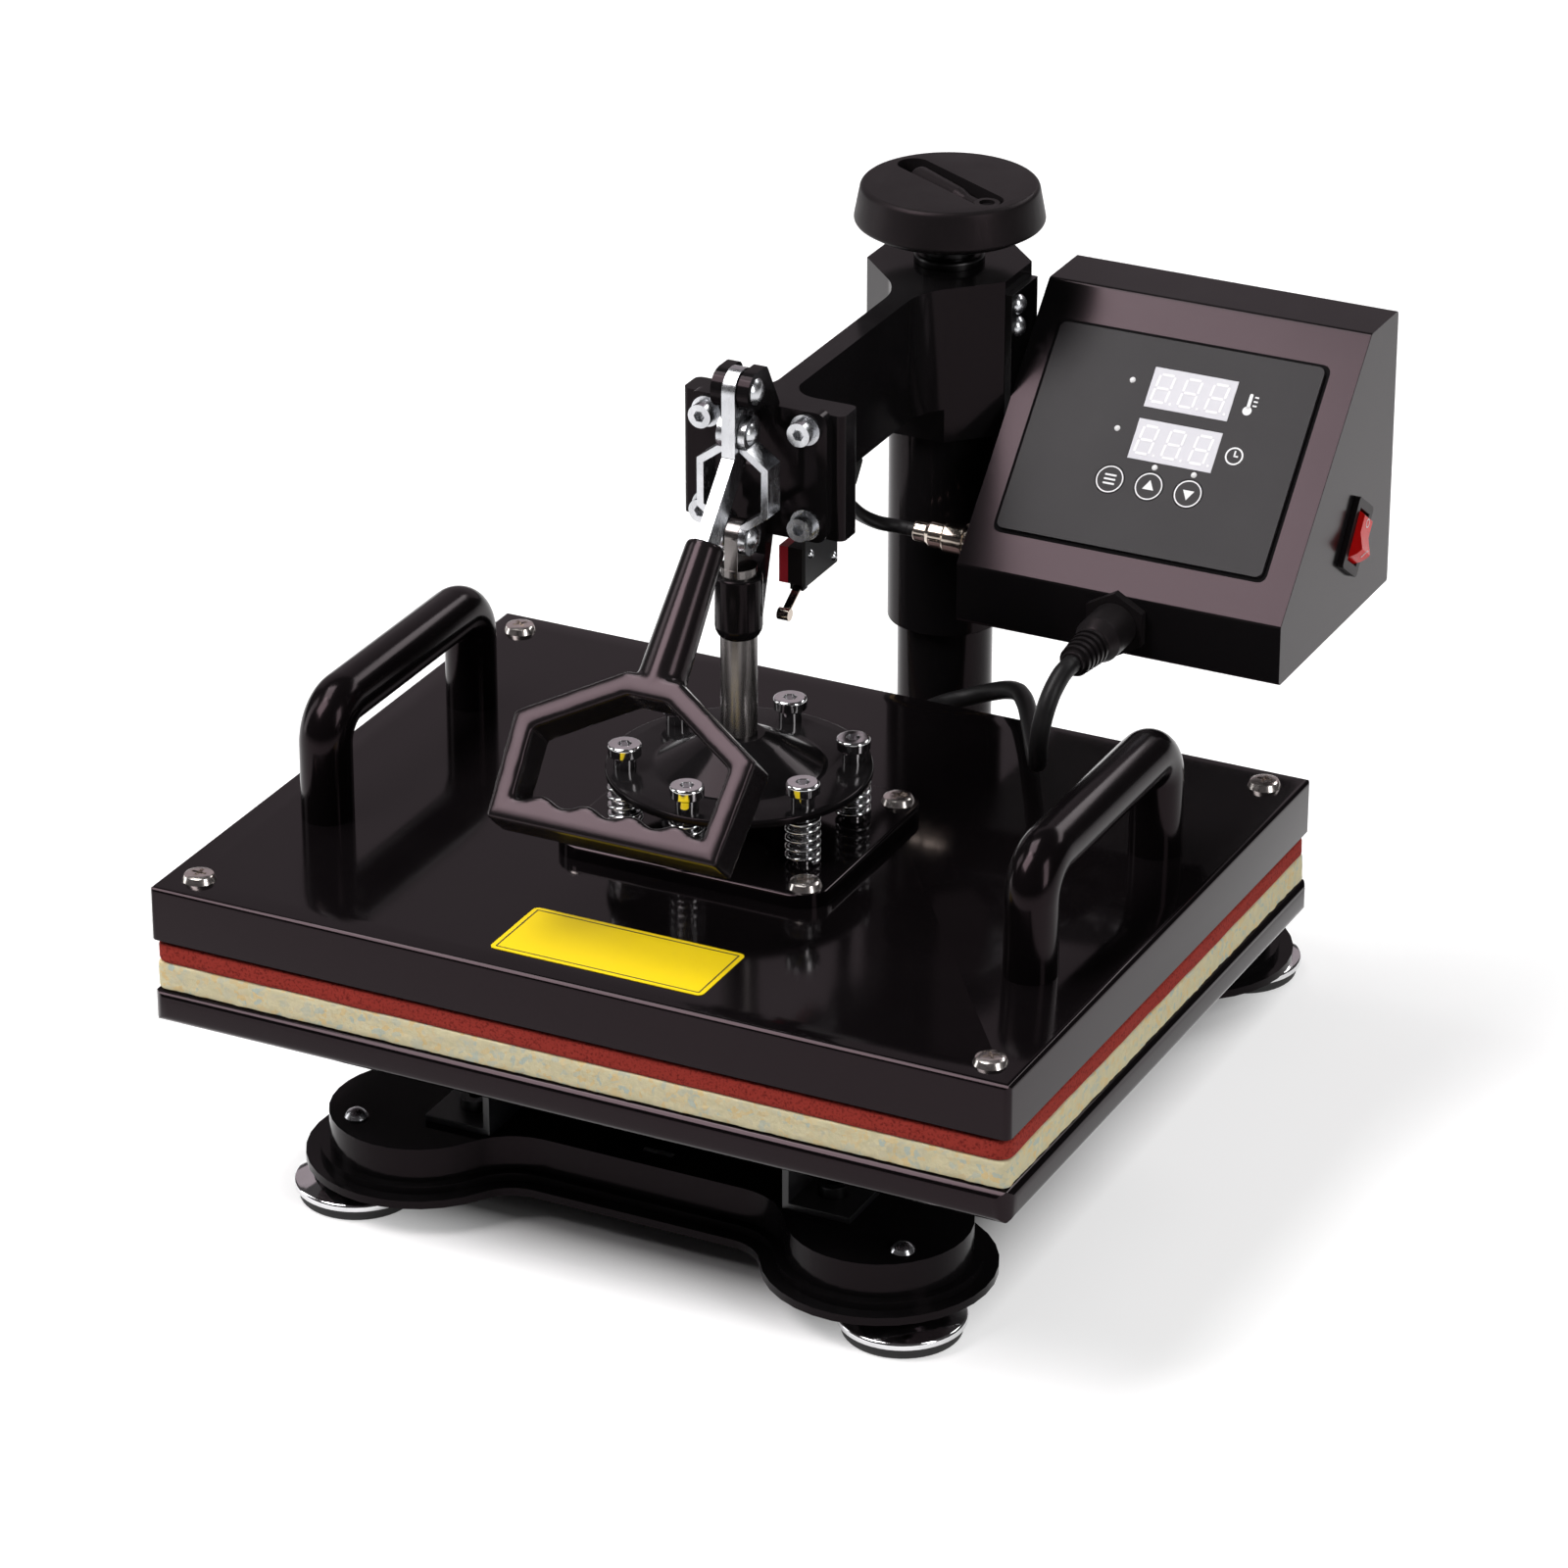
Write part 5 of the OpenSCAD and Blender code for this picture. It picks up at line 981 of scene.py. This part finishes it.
# %% Key rings and symbols
KEY_X = 0.4 * MM
KEY_S = -17.6 * MM
KEY_PITCH = 17.6 * MM
RING_R = 5.7 * MM
RING_W = 0.55 * MM
SYMBOL = 2.9 * MM
MENU_LINE = (5.2 * MM, 0.8 * MM)
MENU_PITCH = 1.9 * MM
MENU_ROUND = 0.3 * MM
KEYS = ((-1, "set_key", "set_button"), (0, "up_key", "up_button"), (1, "down_key", "down_button"))


def ring(bm, at, radius, width, segments=40):
    """A thin flat ring: a short bar spun round a point."""
    ends = [bmesh.ops.create_vert(bm, co=(at[0] + radius + side * width / 2, at[1], INK))["vert"][0]
            for side in (-1, 1)]
    bar = bm.edges.new(ends)
    bmesh.ops.spin(bm, geom=[*ends, bar], cent=(*at, 0), axis=(0, 0, 1), angle=2 * math.pi,
                   steps=segments, use_merge=True)


def arrow(bm, at, size, turn):
    """A small filled triangle."""
    bmesh.ops.create_circle(bm, cap_ends=True, segments=3, radius=size,
                            matrix=Matrix.Translation((*at, INK)) @ Matrix.Rotation(turn, 4, "Z"))


for place, key, body in KEYS:
    marks = bmesh.new()
    centre = (KEY_X + place * KEY_PITCH, KEY_S)
    ring(marks, centre, RING_R, RING_W)
    if place < 0:
        for line in (-1, 0, 1):
            plate(marks, *MENU_LINE, (centre[0], centre[1] + line * MENU_PITCH), round_off=MENU_ROUND)
    else:
        arrow(marks, centre, SYMBOL, 0.0 if place == 0 else math.pi)
    laid(marks, key + "_print", white_print, "panel", body, panel_frame, height_on_panel(key))
print("key prints:", len(KEYS))

# %% Signs beside the displays: a thermometer and a clock
SIGN_X = WINDOW_X + 26 * MM
SIGN_W = 0.7 * MM
STEM = (1.5 * MM, 7 * MM)
STEM_RISE = 1.2 * MM
BULB_R = 2 * MM
BULB_DROP = 3 * MM
TICK_L = 1.8 * MM
TICK_SHIFT = 2.6 * MM
TICKS = (-0.4 * MM, 1.5 * MM, 3.4 * MM)
CLOCK_X = SIGN_X + 0.6 * MM
CLOCK_R = 3.6 * MM
LONG_HAND = 2.6 * MM
LONG_HAND_RISE = 1.1 * MM
SHORT_HAND = 2 * MM
SHORT_HAND_X = SIGN_X + 1.3 * MM
signs = bmesh.new()
plate(signs, *STEM, (SIGN_X, WINDOW_S[0] + STEM_RISE), round_off=SIGN_W)
bmesh.ops.create_circle(signs, cap_ends=True, segments=24, radius=BULB_R,
                        matrix=Matrix.Translation((SIGN_X, WINDOW_S[0] - BULB_DROP, INK)))
for tick in TICKS:
    plate(signs, TICK_L, SIGN_W, (SIGN_X + TICK_SHIFT, WINDOW_S[0] + tick))
ring(signs, (CLOCK_X, WINDOW_S[1]), CLOCK_R, SIGN_W)
plate(signs, SIGN_W, LONG_HAND, (CLOCK_X, WINDOW_S[1] + LONG_HAND_RISE))
plate(signs, SHORT_HAND, SIGN_W, (SHORT_HAND_X, WINDOW_S[1]))
print("faces of the signs:", len(signs.faces))
laid(signs, "display_signs", white_print, "panel", "arm", panel_frame, height_on_panel("display_panel"))

# %% [markdown]
# ## Plates and switch marks
# The cover carries a plain yellow plate with a dark border near its front edge. The main switch has
# the usual line and ring. Its face is curved, so a ray is cast at it to find where each mark lies.

# %% Yellow plate
PLATE_SIZE = (94 * MM, 39 * MM)
PLATE_AT = (5 * MM, -116.5 * MM)
PLATE_ROUND = 2.5 * MM
PLATE_T = 0.25 * MM
plate_frame = Matrix.Translation((platen.x, platen.y, 0))
vinyl = bmesh.new()
plate(vinyl, *PLATE_SIZE, PLATE_AT, round_off=PLATE_ROUND, thick=PLATE_T)
laid(vinyl, "cover_plate", yellow_vinyl, "panel", "platen", plate_frame, cover_top)
BORDER_IN = 2.2 * MM
BORDER_W = 0.6 * MM
border = bmesh.new()
for side in (-1, 1):
    plate(border, PLATE_SIZE[0] - 2 * BORDER_IN, BORDER_W,
          (PLATE_AT[0], PLATE_AT[1] + side * (PLATE_SIZE[1] / 2 - BORDER_IN)))
    plate(border, BORDER_W, PLATE_SIZE[1] - 2 * BORDER_IN,
          (PLATE_AT[0] + side * (PLATE_SIZE[0] / 2 - BORDER_IN), PLATE_AT[1]))
laid(border, "cover_plate_border", dark_print, "panel", "platen", plate_frame, cover_top + PLATE_T)
print("plate top at z =", round(cover_top + PLATE_T, 5))

# %% Marks on the main switch
ROCKER_LEAN = math.radians(35)
MARK_REACH = 6.5 * MM
CAST_FROM = 50 * MM
MARK_RING = (1.7 * MM, 0.5 * MM, 28)
MARK_LINE = (0.6 * MM, 4 * MM)
rocker_low, rocker_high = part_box("rocker")
rocker_middle = (rocker_low + rocker_high) / 2
along_rocker = Vector((0, math.sin(ROCKER_LEAN), math.cos(ROCKER_LEAN)))
rocker_copy = merged("rocker")
rocker_tree = BVHTree.FromBMesh(rocker_copy)
rocker_copy.free()
for offset, sign in ((MARK_REACH, "ring"), (-MARK_REACH, "line")):
    start = Vector((rocker_high.x + CAST_FROM, rocker_middle.y, rocker_middle.z)) + offset * along_rocker
    hit, face_out = rocker_tree.ray_cast(start, Vector((-1, 0, 0)))[:2]
    up_face = (along_rocker - along_rocker.dot(face_out) * face_out).normalized()
    face_frame = Matrix((up_face.cross(face_out), up_face, face_out)).transposed().to_4x4()
    face_frame.translation = hit
    mark = bmesh.new()
    if sign == "ring":
        ring(mark, (0, 0), *MARK_RING)
    else:
        plate(mark, *MARK_LINE, (0, 0))
    laid(mark, "rocker_" + sign, white_print, "red_plastic", "rocker_switch", face_frame, CLEAR)
    print("rocker", sign, "at", tuple(round(part, 4) for part in hit))

# %% [markdown]
# ## Floor and light
# The press stands on a plain white floor that runs out of the picture, so the background is the
# floor itself. Black gloss shows what stands round it more than what falls on it: large soft
# lamps give the long highlights, and the room behind is left dark so that the cover stays black.
# Under the base the floor stops glowing, so that the press keeps its shadow.

# %% Floor
FLOOR_HALF = 40
floor_shape = bmesh.new()
bmesh.ops.create_grid(floor_shape, x_segments=1, y_segments=1, size=FLOOR_HALF)
floor_mesh = mesh_of("floor", floor_shape)
floor = placed("floor", floor_mesh)
print("floor:", 2 * FLOOR_HALF, "m square")

# %% Floor paper: matt, with a glow for every ray that shows it to the eye
PAPER_GREY = (0.62, 0.62, 0.62, 1)
WHITE = (1, 1, 1, 1)
FLOOR_GLOW = 0.58
SHADE_EDGE = 0.04
paper = bpy.data.materials.new("studio_paper")
paper.use_nodes = True
tree = paper.node_tree
tree.nodes.clear()
seen = put(tree, "LightPath")
matt = put(tree, "BsdfDiffuse", Color=PAPER_GREY)
glow = put(tree, "Emission", Color=WHITE)
both = put(tree, "AddShader")
choice = put(tree, "MixShader")
output = put(tree, "OutputMaterial")
direct = put(tree, "Math", {"operation": "MAXIMUM"})
any_view = put(tree, "Math", {"operation": "MAXIMUM"})
wire(tree, (seen, "Is Camera Ray", direct, 0), (seen, "Is Glossy Ray", direct, 1),
     (direct, 0, any_view, 0), (seen, "Is Transmission Ray", any_view, 1),
     (matt, 0, both, 0), (glow, 0, both, 1),
     (any_view, 0, choice, "Fac"), (matt, 0, choice, 1), (both, 0, choice, 2),
     (choice, 0, output, "Surface"))
base_low, base_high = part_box("base_pressing")
coords = put(tree, "TexCoord")
place = put(tree, "SeparateXYZ")
wire(tree, (coords, "Object", place, "Vector"))
under = []
for axis, low, high in (("X", base_low.x, base_high.x), ("Y", base_low.y, base_high.y)):
    under.append(ranged(tree, place.outputs[axis], low, low + SHADE_EDGE, 0.0, 1.0))
    under.append(ranged(tree, place.outputs[axis], high - SHADE_EDGE, high, 1.0, 0.0))
shaded = multiplied(tree, multiplied(tree, under[0], under[1]), multiplied(tree, under[2], under[3]))
tree.links.new(ranged(tree, shaded, 0.0, 1.0, FLOOR_GLOW, 0.0), glow.inputs["Strength"])
floor_mesh.materials.append(paper)
print("paper nodes:", len(tree.nodes))

# %% Soft lamps
AIM_HEIGHT = 0.15


def softbox(name, toward, distance, width, height, power, tint=(1, 1, 1)):
    """A large soft lamp in a direction from the press, facing it; metres and watts."""
    lamp = bpy.data.lights.new(name, "AREA")
    lamp.shape = "RECTANGLE"
    lamp.size = width
    lamp.size_y = height
    lamp.energy = power
    lamp.color = tint
    stand = placed(name, lamp)
    direction = Vector(toward).normalized()
    stand.location = Vector((0, 0, AIM_HEIGHT)) + direction * distance
    stand.rotation_mode = "QUATERNION"
    stand.rotation_quaternion = direction.to_track_quat("Z", "Y")


softbox("panel_light", (-0.37, -0.49, 0.80), 2.0, 0.8, 1.0, 30, (1, 0.96, 0.97))
softbox("left_light", (-1.0, -0.25, 0.35), 1.9, 0.5, 1.5, 7)
softbox("right_light", (1.0, -0.35, 0.5), 2.0, 0.5, 1.3, 14)
softbox("top_light", (-0.36, -0.06, 1.0), 2.2, 1.1, 0.9, 28)
softbox("back_light", (0.5, 1.0, 0.9), 2.2, 1.6, 0.4, 10)
softbox("back_wall", (-0.40, 0.81, 0.44), 3.2, 5.0, 2.4, 12, (1, 0.84, 0.91))

# %% Room
ROOM_TINT = (1, 0.94, 0.97, 1)
ROOM_GLOW = 0.06
room = bpy.data.worlds.new("room")
room.use_nodes = True
scene.world = room
air = room.node_tree.nodes["Background"]
air.inputs["Color"].default_value = ROOM_TINT
air.inputs["Strength"].default_value = ROOM_GLOW
print("room glow:", ROOM_GLOW)
